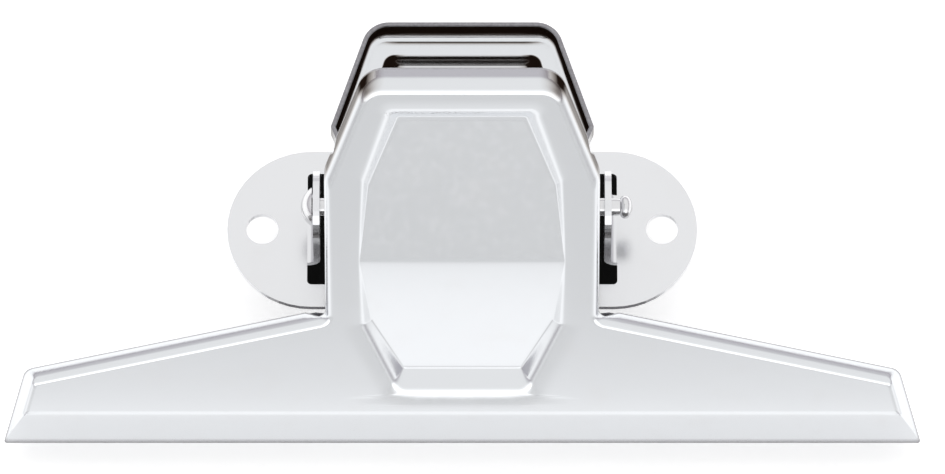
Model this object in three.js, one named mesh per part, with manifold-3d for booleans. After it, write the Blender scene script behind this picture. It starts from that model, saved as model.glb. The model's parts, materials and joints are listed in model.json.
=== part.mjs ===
// A large bulldog clip: two pressed sheet jaws on one pin, a torsion spring round the pin,
// and a mounting plate with two screw ears between the jaws. Millimetres, +Z up.
// The clip lies on the flat outer face of its rear jaw. +X runs along the biting edge and
// +Y from the lips towards the handles.
// In a jaw's own frame x runs across it, s up from its lip line to its handle, and h outwards
// from the plane of its rim to its outer face.

import * as THREE from "three";
import { mergeVertices, toCreasedNormals } from "three/addons/utils/BufferGeometryUtils.js";
import Module from "manifold-3d";

// Both jaws
const jawWidth = 125;
const jawLength = 62.5;
const jawDepth = 3.2;
const jawSheet = 0.6;
const openAngle = 60;
const lipGap = 0.35;

// Handle, neck and wings of the outline
const handleTopWidth = 25.8;
const handleLength = 18.2;
const handleCorner = 3.75;
const neckWidth = 36.9;
const neckCorner = 1.2;
const wingTop = 22.9;
const wingEndHeight = 12.5;
const wingEndSlant = 3.2;
const wingCorner = 1.8;
const lipCorner = 0.3;

// The rear jaw's handle flange ends in a step, and its wings sit lower than the front ones
const rearHandleLength = 16.2;
const rearStepLength = 1.8;
const rearStepWidth = 0.75;
const rearWingTopDrop = 3.2;
const rearWingEndDrop = 2.1;

// Bends from the face into the flanges: outside radii, and the slopes of the two open bends
const handleTopBend = 1.8;
const handleSideBend = 1.4;
const neckBend = 1.2;
const wingBend = 0.95;
const endBend = 0.9;
const endBendAngle = 68;
const lipBend = 4;
const lipBendAngle = 21;
const straightBendAngle = 90;

// Cut edges of the flanges
const handleFlangeDrop = 0.7;
const neckFlangeDrop = 2;
const notchFromNeck = 4.6;
const notchWidth = 3.4;
const notchHeight = 1.2;
const reliefHeight = 1.4;
const reliefWidth = 1.6;

// Thumb panel pressed into each jaw: two flat facets that meet in a crease. Its upper end keeps
// its distance from the handle's top, and its sides theirs from the handle's and the neck's.
const panelTopMargin = 4.1;
const panelTopSide = 2.5;
const panelShoulderMargin = 15.9;
const panelShoulderSide = 4.8;
const panelCrease = 32.8;
const panelCreaseSide = 4.45;
const panelHip = 22.2;
const panelHipSide = 4.55;
const panelBottom = 10.6;
const panelBottomWidth = 17.8;
const panelCreaseDepth = 0.25;
const panelTopDepth = 2;
const panelBottomDepth = 2.6;
const panelSideRun = 1;
const panelEndRun = 1.3;
const panelCornerRadius = 1.6;
const panelFloorRadius = 0.4;
const panelSoftness = 0.3;

// Pin, and the cheeks that carry it
const pinAlong = 27.7;
const pinDiameter = 2.4;
const pinHoleClearance = 0.15;
const frontCheekEnd = 5;
const rearCheekEnd = 4.6;
const cheekGap = 0.45;
const headGap = 0.2;
const domeDiameter = 5.3;
const domeHeight = 1.5;
const pinNeckLength = 0.7;
const peenedDiameter = 3.2;
const peenedLength = 2;
const peenedAngle = 135;

// Mounting plate
const plateThickness = 0.9;
const plateBelowPin = 7.65;
const plateLength = 64.2;
const plateWidth = 23;
const screwHoleFromEnd = 4.8;
const screwHoleDiameter = 4.4;
const windowInner = 8.6;
const windowLength = 16.4;
const windowCorner = 0.6;
const lugGap = 0.9;
const lugBend = 0.9;
const lugWidth = 10;
const lugEnd = 4.9;
const plateSeatGap = 0.3;
const plateSeatWidth = 2.3;
const windowClearance = 0.6;

// Torsion spring
const springWire = 1.8;
const springRadius = 3.4;
const springLegClearance = 0.7;
const springTurns = 8;
const springLegAngle = 45;
const springFootGap = 0.3;
const springFootLength = 3;
const springFootBend = 3;

// Fineness of the round stretches
const bendSteps = 4;
const cornerSteps = 4;
const cheekSteps = 12;
const earSteps = 12;
const headSteps = 8;
const holeSteps = 24;
const wireSides = 8;
const stepsPerTurn = 20;
const smallestRadius = 0.08;
const mergeDistance = 1e-4;
const creaseAngle = 30;

const steel = { color: 0xd6d9de, metalness: 0.95, roughness: 0.18 };
const plateSteel = { color: 0xdfe0e2, metalness: 0.9, roughness: 0.28 };
const pinSteel = { color: 0xc9cbce, metalness: 0.95, roughness: 0.2 };
const springSteel = { color: 0x8f9195, metalness: 0.9, roughness: 0.35 };

// Where the pin lies: on the plane halfway between the two rims, so both jaws see it alike
const { degToRad: radians, lerp, clamp } = THREE.MathUtils;
const rimOffset = lipGap / 2;
const pinInward = pinAlong * Math.tan(radians(openAngle / 2)) + rimOffset;
const pinHeight = jawDepth + pinInward;
const plateFront = pinHeight - plateBelowPin;
const plateBack = plateFront - plateThickness;

// Places that follow from the sizes
const panelTop = jawLength - panelTopMargin;
const panelShoulder = jawLength - panelShoulderMargin;
const neckTop = jawLength - handleLength;
const lugInside = neckWidth / 2 + lugGap;
const lugOutside = lugInside + plateThickness;
const windowOuter = lugOutside + lugBend;
const springHalfLength = windowInner + springLegClearance + springWire / 2;

// The two sides of a jaw's sheet: the level of its face, and how far its panel is spread by the
// sheet's thickness. The inner side's triangles are turned over.
const outside = { name: "outer", level: jawDepth, spread: 0, flip: false };
const inside = {
  name: "inner",
  level: jawDepth - jawSheet,
  spread: jawSheet * Math.tan(Math.atan(1 / panelSideRun) / 2),
  flip: true,
};

const wasm = await Module();
wasm.setup();

// A closed mesh as a solid that can be joined and cut.
function solidOf(geometry) {
  const bare = new THREE.BufferGeometry();
  const whole = geometry.index ? geometry.toNonIndexed() : geometry;
  bare.setAttribute("position", whole.getAttribute("position"));
  const merged = mergeVertices(bare, mergeDistance);
  return new wasm.Manifold(new wasm.Mesh({
    numProp: 3,
    vertProperties: new Float32Array(merged.attributes.position.array),
    triVerts: new Uint32Array(merged.index.array),
  }));
}

function geometryOf(solid) {
  const mesh = solid.getMesh();
  const points = [];
  for (let i = 0; i < mesh.vertProperties.length; i += mesh.numProp) {
    points.push(...mesh.vertProperties.subarray(i, i + 3));
  }
  const geometry = new THREE.BufferGeometry();
  geometry.setAttribute("position", new THREE.Float32BufferAttribute(points, 3));
  geometry.setIndex([...mesh.triVerts]);
  return geometry;
}

// Collects the triangles of one skin.
class Skin {
  points = [];

  triangle(a, b, c) {
    this.points.push(...a, ...b, ...c);
  }

  // A band between two rows of points of equal length; it faces left of the way they run.
  band(upper, lower, flip) {
    for (let i = 0; i + 1 < upper.length; i++) {
      if (flip) {
        this.triangle(upper[i], lower[i + 1], lower[i]);
        this.triangle(upper[i], upper[i + 1], lower[i + 1]);
      } else {
        this.triangle(upper[i], lower[i], lower[i + 1]);
        this.triangle(upper[i], lower[i + 1], upper[i + 1]);
      }
    }
  }

  // A flat patch: outline and holes are lists of [u, v], and place turns a [u, v] into a point.
  patch(outline, holes, place, flip) {
    const flat = [outline, ...holes].flat();
    const vectors = (ring) => ring.map(([u, v]) => new THREE.Vector2(u, v));
    for (const face of THREE.ShapeUtils.triangulateShape(vectors(outline), holes.map(vectors))) {
      const [a, b, c] = face.map((i) => flat[i]);
      const turn = (b[0] - a[0]) * (c[1] - a[1]) - (b[1] - a[1]) * (c[0] - a[0]);
      const corners = turn > 0 !== flip ? [a, b, c] : [a, c, b];
      this.triangle(...corners.map(place));
    }
  }

  geometry() {
    const geometry = new THREE.BufferGeometry();
    geometry.setAttribute("position", new THREE.Float32BufferAttribute(this.points, 3));
    return mergeVertices(geometry, mergeDistance);
  }
}

// The angle on a circle at which the line from a point touches it, on one side (+1 or -1).
function tangentAngle([u, v], [centreU, centreV], radius, side) {
  const distance = Math.hypot(u - centreU, v - centreV);
  const towards = Math.atan2(v - centreV, u - centreU);
  return towards + side * Math.acos(radius / distance);
}

function arcPoints([centreU, centreV], radius, from, to, steps) {
  return Array.from({ length: steps + 1 }, (unused, i) => {
    const angle = from + ((to - from) * i) / steps;
    return [centreU + radius * Math.cos(angle), centreV + radius * Math.sin(angle)];
  });
}

// The corner between two edges of a closed outline moved inwards by their own amounts, as an arc
// that touches both. The outline runs anticlockwise.
function cornerArc(before, after, insetBefore = 0, insetAfter = 0) {
  const inwards = (edge) => new THREE.Vector2(-edge.along.y, edge.along.x);
  const turn = Math.atan2(before.along.cross(after.along), before.along.dot(after.along));
  const bulge = Math.sign(turn);
  const reach = after.from.radius - (bulge * (insetBefore + insetAfter)) / 2;
  const radius = Math.max(reach, smallestRadius);
  const slide = (insetAfter - insetBefore * Math.cos(turn)) / Math.sin(turn);
  const meet = new THREE.Vector2(after.from.x, after.from.s)
    .addScaledVector(inwards(before), insetBefore)
    .addScaledVector(before.along, -slide);
  const start = meet.addScaledVector(before.along, -radius * Math.tan(Math.abs(turn) / 2));
  const spoke = inwards(before).multiplyScalar(-bulge * radius);
  const centre = start.sub(spoke);
  return Array.from({ length: cornerSteps + 1 }, (unused, i) => {
    const angle = (turn * i) / cornerSteps;
    return spoke.clone().rotateAround(new THREE.Vector2(), angle).add(centre).toArray();
  });
}

// Edges of a closed outline, each with the corner that it starts from and its direction.
function edgesOf(corners) {
  return corners.map((corner, i) => {
    const next = corners[(i + 1) % corners.length];
    const along = new THREE.Vector2(next.x - corner.x, next.s - corner.s).normalize();
    return { ...corner.edge, along, from: corner };
  });
}

// Rows of a bend from the cut edge up to the face: how far each row lies inside the outline,
// and its height, on the outer and the inner side of the sheet.
function bendRows({ radius, angle }) {
  const slope = radians(angle);
  const wallTop = jawDepth - radius * (1 - Math.cos(slope));
  const cutHeight = jawSheet * Math.cos(slope);
  const run = angle < straightBendAngle ? (wallTop - cutHeight) / Math.tan(slope) : 0;
  const row = (inset, height, tilt) => ({
    outer: { inset, height },
    inner: { inset: inset + jawSheet * Math.sin(tilt), height: height - jawSheet * Math.cos(tilt) },
  });
  const rows = [row(0, cutHeight, slope)];
  for (let i = 0; i <= bendSteps; i++) {
    const tilt = slope * (1 - i / bendSteps);
    const inset = run + radius * (Math.sin(slope) - Math.sin(tilt));
    rows.push(row(inset, jawDepth - radius * (1 - Math.cos(tilt)), tilt));
  }
  return rows;
}

// Outline of the thumb panel, moved inwards by a share of its wall's run and outwards by spread.
// The crease is a plain point on each side, so that both facets end on it.
function panelOutline(share, spread, radius) {
  const corner = (half, s, rise) => {
    const run = share * panelDepth(s);
    const side = panelSideRun * run - spread;
    const end = panelEndRun * run - spread;
    return { x: side - half, s: s - rise * end, radius };
  };
  const left = [
    corner(handleTopWidth / 2 - panelTopSide, panelTop, 1),
    corner(neckWidth / 2 - panelShoulderSide, panelShoulder, 1),
    { ...corner(neckWidth / 2 - panelCreaseSide, panelCrease, 0), crease: true },
    corner(neckWidth / 2 - panelHipSide, panelHip, 0),
    corner(panelBottomWidth / 2, panelBottom, -1),
  ];
  const right = left.toReversed().map((point) => ({ ...point, x: -point.x }));
  const edges = edgesOf([...left, ...right]);
  return edges.flatMap((edge, i) => (
    edge.from.crease ? [[edge.from.x, edge.from.s]] : cornerArc(edges.at(i - 1), edge)
  ));
}

// How deep the panel's floor lies: least along its crease, and deeper towards both ends.
function panelDepth(s) {
  const end = s > panelCrease ? panelTop : panelBottom;
  const endDepth = s > panelCrease ? panelTopDepth : panelBottomDepth;
  const share = clamp((s - panelCrease) / (end - panelCrease), 0, 1);
  return lerp(panelCreaseDepth, endDepth, share);
}

// A ramp from 0 to 1 with rounded ends.
function softRamp(share) {
  const slope = 1 / (1 - panelSoftness);
  const rounded = (u) => (slope * u * u) / (2 * panelSoftness);
  if (share < panelSoftness) return rounded(share);
  if (share > 1 - panelSoftness) return 1 - rounded(1 - share);
  return slope * (share - panelSoftness / 2);
}

// The panel's walls and its two floor facets on one side of the sheet. Returns its mouth.
function addPanel(skin, { level, spread, flip }) {
  const mouth = panelOutline(0, spread, panelCornerRadius);
  const floor = panelOutline(1, spread, panelFloorRadius);
  const shares = [0, panelSoftness / 2, panelSoftness, 1 - panelSoftness, 1 - panelSoftness / 2, 1];
  const rows = shares.map((share) => {
    const row = mouth.map(([x, s], i) => {
      const [floorX, floorS] = floor[i];
      const drop = softRamp(share) * panelDepth(floorS);
      return [lerp(x, floorX, share), lerp(s, floorS, share), level - drop];
    });
    return [...row, row[0]];
  });
  rows.slice(1).forEach((row, i) => skin.band(row, rows[i], flip));
  const onFloor = ([x, s]) => [x, s, level - panelDepth(s)];
  const upper = floor.filter(([, s]) => s > panelCrease - mergeDistance);
  const lower = floor.filter(([, s]) => s < panelCrease + mergeDistance);
  skin.patch(upper, [], onFloor, flip);
  skin.patch(lower, [], onFloor, flip);
  return mouth;
}

// Rows of points round one side of a jaw's sheet, from its cut edge up to its face. Each row
// holds one arc for each corner.
function sheetRows(edges, side) {
  return edges[0].rows.map((unused, k) => edges.map((edge, i) => {
    const last = edges.at(i - 1);
    const before = last.rows[k][side.name];
    const after = edge.rows[k][side.name];
    const cut = k === 0 ? edge.from.cut : 0;
    return cornerArc(last, edge, before.inset, after.inset).map(([x, s], j) => (
      [x, s, lerp(before.height, after.height, j / cornerSteps) + cut]
    ));
  }));
}

// Turns [way along an edge, height] into the point there on the edge's flange, below its bend.
function flangePoint(edge, side) {
  const [cut, top] = edge.rows.map((row) => row[side.name]);
  return ([along, height]) => {
    const share = clamp((height - cut.height) / (top.height - cut.height), 0, 1);
    const inset = lerp(cut.inset, top.inset, share);
    return [
      edge.from.x + edge.along.x * along - edge.along.y * inset,
      edge.from.s + edge.along.y * along + edge.along.x * inset,
      height,
    ];
  };
}

// One side of an edge's flange, a flat strip between its cut edge and its bend. corners holds
// the strip's four corners; course is its cut edge between the last two of them.
function addFlange(skin, edge, side, corners, course) {
  const [topStart, topEnd, cutEnd, cutStart] = corners;
  const place = flangePoint(edge, side);
  const flat = ([x, s, height]) => (
    [(x - edge.from.x) * edge.along.x + (s - edge.from.s) * edge.along.y, height]
  );
  const outline = [topStart, topEnd, cutEnd, ...course.toReversed(), cutStart];
  const known = new Map(outline.map((point) => [flat(point).join(), point]));
  skin.patch(outline.map(flat), edge.holes, (uv) => known.get(uv.join()) ?? place(uv), side.flip);
}

// Flanges, bends and corners of one side of the sheet. Returns the points along its cut edge.
function addEdges(skin, edges, rows, side) {
  const [cut, top] = rows;
  const cutEdge = edges.flatMap((edge, i) => {
    const next = (i + 1) % edges.length;
    const course = edge.course.map(flangePoint(edge, side));
    addFlange(skin, edge, side, [top[i].at(-1), top[next][0], cut[next][0], cut[i].at(-1)], course);
    skin.band(top[i], cut[i], side.flip);
    for (let k = 2; k < rows.length; k++) {
      const [upper, lower] = [rows[k], rows[k - 1]];
      skin.band([...upper[i], upper[next][0]], [...lower[i], lower[next][0]], side.flip);
    }
    return [...cut[i], ...course];
  });
  return [...cutEdge, cutEdge[0]];
}

// One jaw as a folded sheet. corners is its closed outline; each corner has its radius and the
// height of the cut edge there, and each edge its bend, the course of its cut edge and its holes.
function foldedJaw(corners) {
  const skin = new Skin();
  const edges = edgesOf(corners).map((edge) => ({ ...edge, rows: bendRows(edge.bend) }));
  const cutEdges = [outside, inside].map((side) => {
    const rows = sheetRows(edges, side);
    const mouth = addPanel(skin, side);
    skin.patch(rows.at(-1).flat(), [mouth], ([x, s]) => [x, s, side.level], side.flip);
    return addEdges(skin, edges, rows, side);
  });
  skin.band(...cutEdges, false);
  for (const edge of edges) {
    for (const hole of edge.holes) {
      const [outer, inner] = [outside, inside].map((side) => (
        [...hole, hole[0]].map(flangePoint(edge, side))
      ));
      skin.band(outer, inner, false);
    }
  }
  return skin.geometry();
}

// Closed outline of a jaw from its left half, whose edges run down from the handle's top to the
// lip. On the right the same edges run back up, and the last one closes the handle's top.
function mirrored(left, topEdge) {
  const right = left.map((corner, i) => {
    if (i === 0) return { ...corner, x: -corner.x, edge: topEdge };
    const { bend, course, holes } = left[i - 1].edge;
    const length = edgeLength(left[i - 1], corner);
    const turned = (points) => points.map(([along, height]) => [length - along, height]).toReversed();
    const edge = { bend, course: turned(course), holes: holes.map(turned) };
    return { ...corner, x: -corner.x, edge };
  });
  return [...left, ...right.toReversed()];
}

function edgeLength(from, to) {
  return Math.hypot(to.x - from.x, to.s - from.s);
}

function plainEdge(radius, angle = straightBendAngle) {
  return { bend: { radius, angle }, course: [], holes: [] };
}

// Edge of a neck: its flange grows into a cheek, which tapers to a round end about the pin and is
// drilled for it. The cut edge runs from a first point or along a seat, round the end, to a foot.
// All points are [s, height], and heights are negative inwards from the rim.
function neckEdge(neck, seat, endRadius, foot) {
  const pin = [pinAlong, -pinInward];
  const fromNeck = ([s, height]) => [neck.s - s, height];
  const enter = tangentAngle(seat.at(-1) ?? [neck.s, neck.cut], pin, endRadius, -1);
  const leave = tangentAngle(foot, pin, endRadius, 1);
  const turnBack = leave > enter ? leave - 2 * Math.PI : leave;
  const course = [...seat, ...arcPoints(pin, endRadius, enter, turnBack, cheekSteps), foot];
  const holeRadius = pinDiameter / 2 + pinHoleClearance;
  const hole = arcPoints(pin, holeRadius, 0, 2 * Math.PI, holeSteps).slice(0, -1);
  return { ...plainEdge(neckBend), course: course.map(fromNeck), holes: [hole.map(fromNeck)] };
}

// Corners of a jaw's wing from the neck down to the lip, with their edges.
function wingCorners(neckHalf, top, endHeight, endSlant) {
  return [
    {
      x: -neckHalf, s: top, radius: neckCorner, cut: reliefHeight,
      edge: { ...plainEdge(wingBend), course: [[neckCorner + reliefWidth, 0]] },
    },
    {
      x: endSlant - jawWidth / 2, s: endHeight, radius: wingCorner, cut: 0,
      edge: plainEdge(endBend, endBendAngle),
    },
    { x: -jawWidth / 2, s: 0, radius: lipCorner, cut: 0, edge: plainEdge(lipBend, lipBendAngle) },
  ];
}

function handleCornerPoint(cut) {
  const edge = plainEdge(handleSideBend);
  return { x: -handleTopWidth / 2, s: jawLength, radius: handleCorner, cut, edge };
}

// Front jaw: the flange of its handle widens towards the neck and is notched above it
function frontJaw() {
  const half = neckWidth / 2;
  const top = handleCornerPoint(-handleFlangeDrop);
  const neck = { x: -half, s: neckTop, radius: neckCorner, cut: -neckFlangeDrop };
  const sideLength = edgeLength(top, neck);
  const notch = sideLength - notchFromNeck;
  const above = notch - notchWidth / 2;
  top.edge.course = [
    [above, lerp(top.cut, neck.cut, above / sideLength)],
    [notch, notchHeight],
    [notch + notchWidth / 2, neck.cut],
  ];
  neck.edge = neckEdge(neck, [], frontCheekEnd, [pinAlong - frontCheekEnd, -neckFlangeDrop]);
  const wing = wingCorners(half, wingTop, wingEndHeight, wingEndSlant);
  return foldedJaw(mirrored([top, neck, ...wing], plainEdge(handleTopBend)));
}

// Rear jaw: its narrower neck nests between the front cheeks. Its cheeks have a seat for the
// mounting plate and reach through the plate's windows.
function rearJaw() {
  const half = neckWidth / 2 - jawSheet - cheekGap;
  const cut = -neckFlangeDrop / 2;
  const stepTop = jawLength - rearHandleLength;
  const step = { x: -(half + rearStepWidth), s: stepTop, radius: lipCorner, cut };
  const neck = { x: -half, s: stepTop - rearStepLength, radius: lipCorner, cut };
  const seatHeight = jawDepth + plateSeatGap - plateBack;
  const seatInner = pinAlong + windowLength / 2 - windowClearance;
  const seatOuter = seatInner + windowClearance + plateSeatWidth;
  const seat = [[seatOuter, seatHeight], [seatInner, seatHeight]];
  const foot = [pinAlong - windowLength / 2 + windowClearance, -neckFlangeDrop];
  step.edge = plainEdge(neckBend);
  neck.edge = neckEdge(neck, seat, rearCheekEnd, foot);
  const endHeight = wingEndHeight - rearWingEndDrop;
  const endSlant = (wingEndSlant * endHeight) / wingEndHeight;
  const wing = wingCorners(half, wingTop - rearWingTopDrop, endHeight, endSlant);
  return foldedJaw(mirrored([handleCornerPoint(0), step, neck, ...wing], plainEdge(handleTopBend)));
}

// A rectangle with rounded corners, as a path.
function roundedRectangle(path, lowX, lowY, highX, highY, radius) {
  path.moveTo(lowX + radius, lowY);
  path.lineTo(highX - radius, lowY);
  path.absarc(highX - radius, lowY + radius, radius, -Math.PI / 2, 0, false);
  path.lineTo(highX, highY - radius);
  path.absarc(highX - radius, highY - radius, radius, 0, Math.PI / 2, false);
  path.lineTo(lowX + radius, highY);
  path.absarc(lowX + radius, highY - radius, radius, Math.PI / 2, Math.PI, false);
  path.lineTo(lowX, lowY + radius);
  path.absarc(lowX + radius, lowY + radius, radius, Math.PI, 1.5 * Math.PI, false);
  return path;
}

// Mounting plate: a flat strip with round ears, screw holes, two windows and two bent lugs
function mountingPlate() {
  const outline = new THREE.Shape();
  const earRadius = plateWidth / 2;
  const earCentre = plateLength / 2 - earRadius;
  const screwHoleAt = plateLength / 2 - screwHoleFromEnd;
  outline.absarc(earCentre, 0, earRadius, -Math.PI / 2, Math.PI / 2, false);
  outline.absarc(-earCentre, 0, earRadius, Math.PI / 2, 1.5 * Math.PI, false);
  for (const side of [-1, 1]) {
    const screwHole = new THREE.Path();
    screwHole.absarc(side * screwHoleAt, 0, screwHoleDiameter / 2, 0, 2 * Math.PI, true);
    const [low, high] = side < 0 ? [-windowOuter, -windowInner] : [windowInner, windowOuter];
    const window = roundedRectangle(
      new THREE.Path(), low, -windowLength / 2, high, windowLength / 2, windowCorner,
    );
    outline.holes.push(screwHole, window);
  }
  const flat = new THREE.ExtrudeGeometry(outline, {
    depth: plateThickness, bevelEnabled: false, curveSegments: earSteps,
  });
  flat.translate(0, 0, -plateThickness);
  const joined = [-1, 1].reduce((solid, side) => solid.add(lug(side)), solidOf(flat));
  const geometry = geometryOf(joined);
  geometry.translate(0, pinAlong, plateFront);
  return geometry;
}

// One lug: a bent strip whose upright leg is rounded about the pin and drilled for it.
function lug(side) {
  const overlap = lugBend / 2;
  const outerBend = lugBend + plateThickness;
  const top = plateBelowPin + lugEnd;
  const strip = new THREE.Shape();
  strip.moveTo(windowOuter + overlap, -plateThickness);
  strip.lineTo(windowOuter + overlap, 0);
  strip.lineTo(windowOuter, 0);
  strip.absarc(windowOuter, lugBend, lugBend, -Math.PI / 2, Math.PI, true);
  strip.lineTo(lugOutside, top);
  strip.lineTo(lugInside, top);
  strip.absarc(windowOuter, lugBend, outerBend, Math.PI, 1.5 * Math.PI, false);
  const bent = new THREE.ExtrudeGeometry(strip, {
    depth: lugWidth, bevelEnabled: false, curveSegments: bendSteps,
  });
  bent.rotateX(Math.PI / 2);
  bent.translate(0, lugWidth / 2, 0);

  const upright = new THREE.Shape();
  upright.moveTo(-lugWidth / 2, -outerBend);
  upright.lineTo(lugWidth / 2, -outerBend);
  upright.lineTo(lugWidth / 2, plateBelowPin - lugEnd);
  upright.absarc(0, plateBelowPin, lugEnd, 0, Math.PI, false);
  upright.lineTo(-lugWidth / 2, plateBelowPin - lugEnd);
  const bore = new THREE.Path();
  bore.absarc(0, plateBelowPin, pinDiameter / 2 + pinHoleClearance, 0, 2 * Math.PI, true);
  upright.holes.push(bore);
  const profile = new THREE.ExtrudeGeometry(upright, {
    depth: windowOuter + 2 * overlap, bevelEnabled: false, curveSegments: cheekSteps,
  });
  profile.applyMatrix4(new THREE.Matrix4().makeBasis(
    new THREE.Vector3(0, 1, 0), new THREE.Vector3(0, 0, 1), new THREE.Vector3(1, 0, 0),
  ));
  const made = solidOf(bent).intersect(solidOf(profile));
  if (side > 0) return made;
  const geometry = geometryOf(made);
  geometry.rotateZ(Math.PI);
  return solidOf(geometry);
}

// Pin with a domed head on the left and a peened end on the right, turned about X
function pivotPin() {
  const radius = pinDiameter / 2;
  const seat = lugOutside + headGap;
  const domeRadius = (domeDiameter ** 2 / 4 + domeHeight ** 2) / (2 * domeHeight);
  const domeCentre = -seat - domeHeight + domeRadius;
  const domeEdge = Math.asin(domeDiameter / 2 / domeRadius);
  const peenedCentre = seat + pinNeckLength + peenedLength / 2;
  const profile = [];
  for (let i = 0; i <= headSteps; i++) {
    const angle = (domeEdge * i) / headSteps;
    profile.push([domeRadius * Math.sin(angle), domeCentre - domeRadius * Math.cos(angle)]);
  }
  profile.push([radius, -seat], [radius, seat + pinNeckLength]);
  for (let i = headSteps; i >= 0; i--) {
    const angle = (radians(peenedAngle) * i) / headSteps;
    const swell = (peenedDiameter / 2) * Math.sin(angle);
    profile.push([swell, peenedCentre + (peenedLength / 2) * Math.cos(angle)]);
  }
  const turned = new THREE.LatheGeometry(profile.map(([r, x]) => new THREE.Vector2(r, x)), holeSteps);
  turned.rotateZ(-Math.PI / 2);
  turned.translate(0, pinAlong, pinHeight);
  return mergeVertices(turned.deleteAttribute("normal").deleteAttribute("uv"), mergeDistance);
}

// Middle line of the spring about the pin: a helix whose ends run off as straight legs. Each leg
// bends at its end into a foot that lies along the inside of a jaw's thumb panel.
// The two halves are alike, turned half a turn about the line halfway between the jaws.
function springLine() {
  const legAngle = -radians(springLegAngle);
  const mirrorAngle = radians(openAngle / 2);
  const halfAngle = legAngle - Math.PI / 2 + Math.PI * springTurns - mirrorAngle;
  const steps = Math.ceil((halfAngle / (2 * Math.PI)) * stepsPerTurn);
  const half = [];
  for (let i = 0; i <= steps; i++) {
    const angle = mirrorAngle + (halfAngle * i) / steps;
    const x = (-springHalfLength * i) / steps;
    half.push([x, springRadius * Math.cos(angle), springRadius * Math.sin(angle)]);
  }

  // The leg's straight part, up to the foot's bend. The foot lies along the panel's upper facet.
  const [x, y, z] = half.at(-1);
  const slope = Math.atan((panelTopDepth - panelCreaseDepth) / (panelTop - panelCrease));
  const clear = jawSheet + panelCreaseDepth + springFootGap + springWire / 2;
  const footHeight = clear + Math.tan(slope) * (pinAlong + y - panelCrease) - pinHeight;
  const [stepY, stepZ] = [Math.cos(legAngle), Math.sin(legAngle)];
  const kneeLength = (footHeight - z) / (stepZ - Math.tan(slope) * stepY);
  const turn = slope - legAngle;
  const legLength = kneeLength - springFootBend * Math.tan(turn / 2);
  for (let i = 1; i < bendSteps; i++) {
    const reach = (legLength * i) / bendSteps;
    half.push([x, y + stepY * reach, z + stepZ * reach]);
  }
  const centreY = y + stepY * legLength - springFootBend * stepZ;
  const centreZ = z + stepZ * legLength + springFootBend * stepY;
  for (let i = 0; i <= bendSteps; i++) {
    const angle = legAngle + (turn * i) / bendSteps;
    half.push([
      x, centreY + springFootBend * Math.sin(angle), centreZ - springFootBend * Math.cos(angle),
    ]);
  }
  const [, footY, footZ] = half.at(-1);
  half.push([
    x, footY + springFootLength * Math.cos(slope), footZ + springFootLength * Math.sin(slope),
  ]);

  const turnedOver = half.slice(1).toReversed().map(([pointX, pointY, pointZ]) => {
    const reach = Math.hypot(pointY, pointZ);
    const angle = 2 * mirrorAngle - Math.atan2(pointZ, pointY);
    return [-pointX, reach * Math.cos(angle), reach * Math.sin(angle)];
  });
  return [...turnedOver, ...half].map((point) => new THREE.Vector3(...point));
}

// Least gap between stretches of the wire that lie more than half a turn apart.
function leastSelfGap(line, apart) {
  let least = Infinity;
  for (let i = 0; i < line.length; i++) {
    for (let j = i + apart; j < line.length; j++) {
      least = Math.min(least, line[i].distanceTo(line[j]));
    }
  }
  return least - springWire;
}

function torsionSpring() {
  const line = springLine();
  const gap = leastSelfGap(line, stepsPerTurn / 2);
  console.log(`torsion spring: least gap to itself ${gap.toFixed(2)} mm`);
  const path = new THREE.CatmullRomCurve3(line, false, "centripetal");
  const section = new THREE.Shape();
  section.absarc(0, 0, springWire / 2, 0, 2 * Math.PI, false);
  const wire = new THREE.ExtrudeGeometry(section, {
    steps: line.length - 1, extrudePath: path, curveSegments: wireSides / 2,
  });
  wire.translate(0, pinAlong, pinHeight);
  return mergeVertices(wire.deleteAttribute("normal").deleteAttribute("uv"), mergeDistance);
}

function piece(name, geometry, look) {
  const mesh = new THREE.Mesh(
    toCreasedNormals(geometry, radians(creaseAngle)),
    new THREE.MeshStandardMaterial(look),
  );
  mesh.name = name;
  return mesh;
}

// Assembly. Each jaw's frame starts at its lip line; the rear one is turned face down.
const clip = new THREE.Group();

const rear = new THREE.Group();
rear.add(piece("rear_jaw", rearJaw(), steel));
rear.rotation.y = Math.PI;
rear.position.z = jawDepth;

const front = new THREE.Group();
front.add(piece("front_jaw", frontJaw(), steel));
front.rotation.x = radians(openAngle);
front.position.set(
  0,
  -rimOffset * Math.sin(radians(openAngle)),
  jawDepth + rimOffset * (1 + Math.cos(radians(openAngle))),
);

clip.add(
  rear,
  front,
  piece("mounting_plate", mountingPlate(), plateSteel),
  piece("pivot_pin", pivotPin(), pinSteel),
  piece("torsion_spring", torsionSpring(), springSteel),
);

// The origin is the middle of the footprint of the whole clip, on the surface it lies on
clip.updateMatrixWorld(true);
const middle = new THREE.Box3().setFromObject(clip, true).getCenter(new THREE.Vector3());
clip.position.y = -middle.y;

export default clip;
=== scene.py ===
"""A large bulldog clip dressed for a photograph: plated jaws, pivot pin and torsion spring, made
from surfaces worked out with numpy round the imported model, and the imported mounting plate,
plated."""

import json
import math
from typing import NamedTuple

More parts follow.
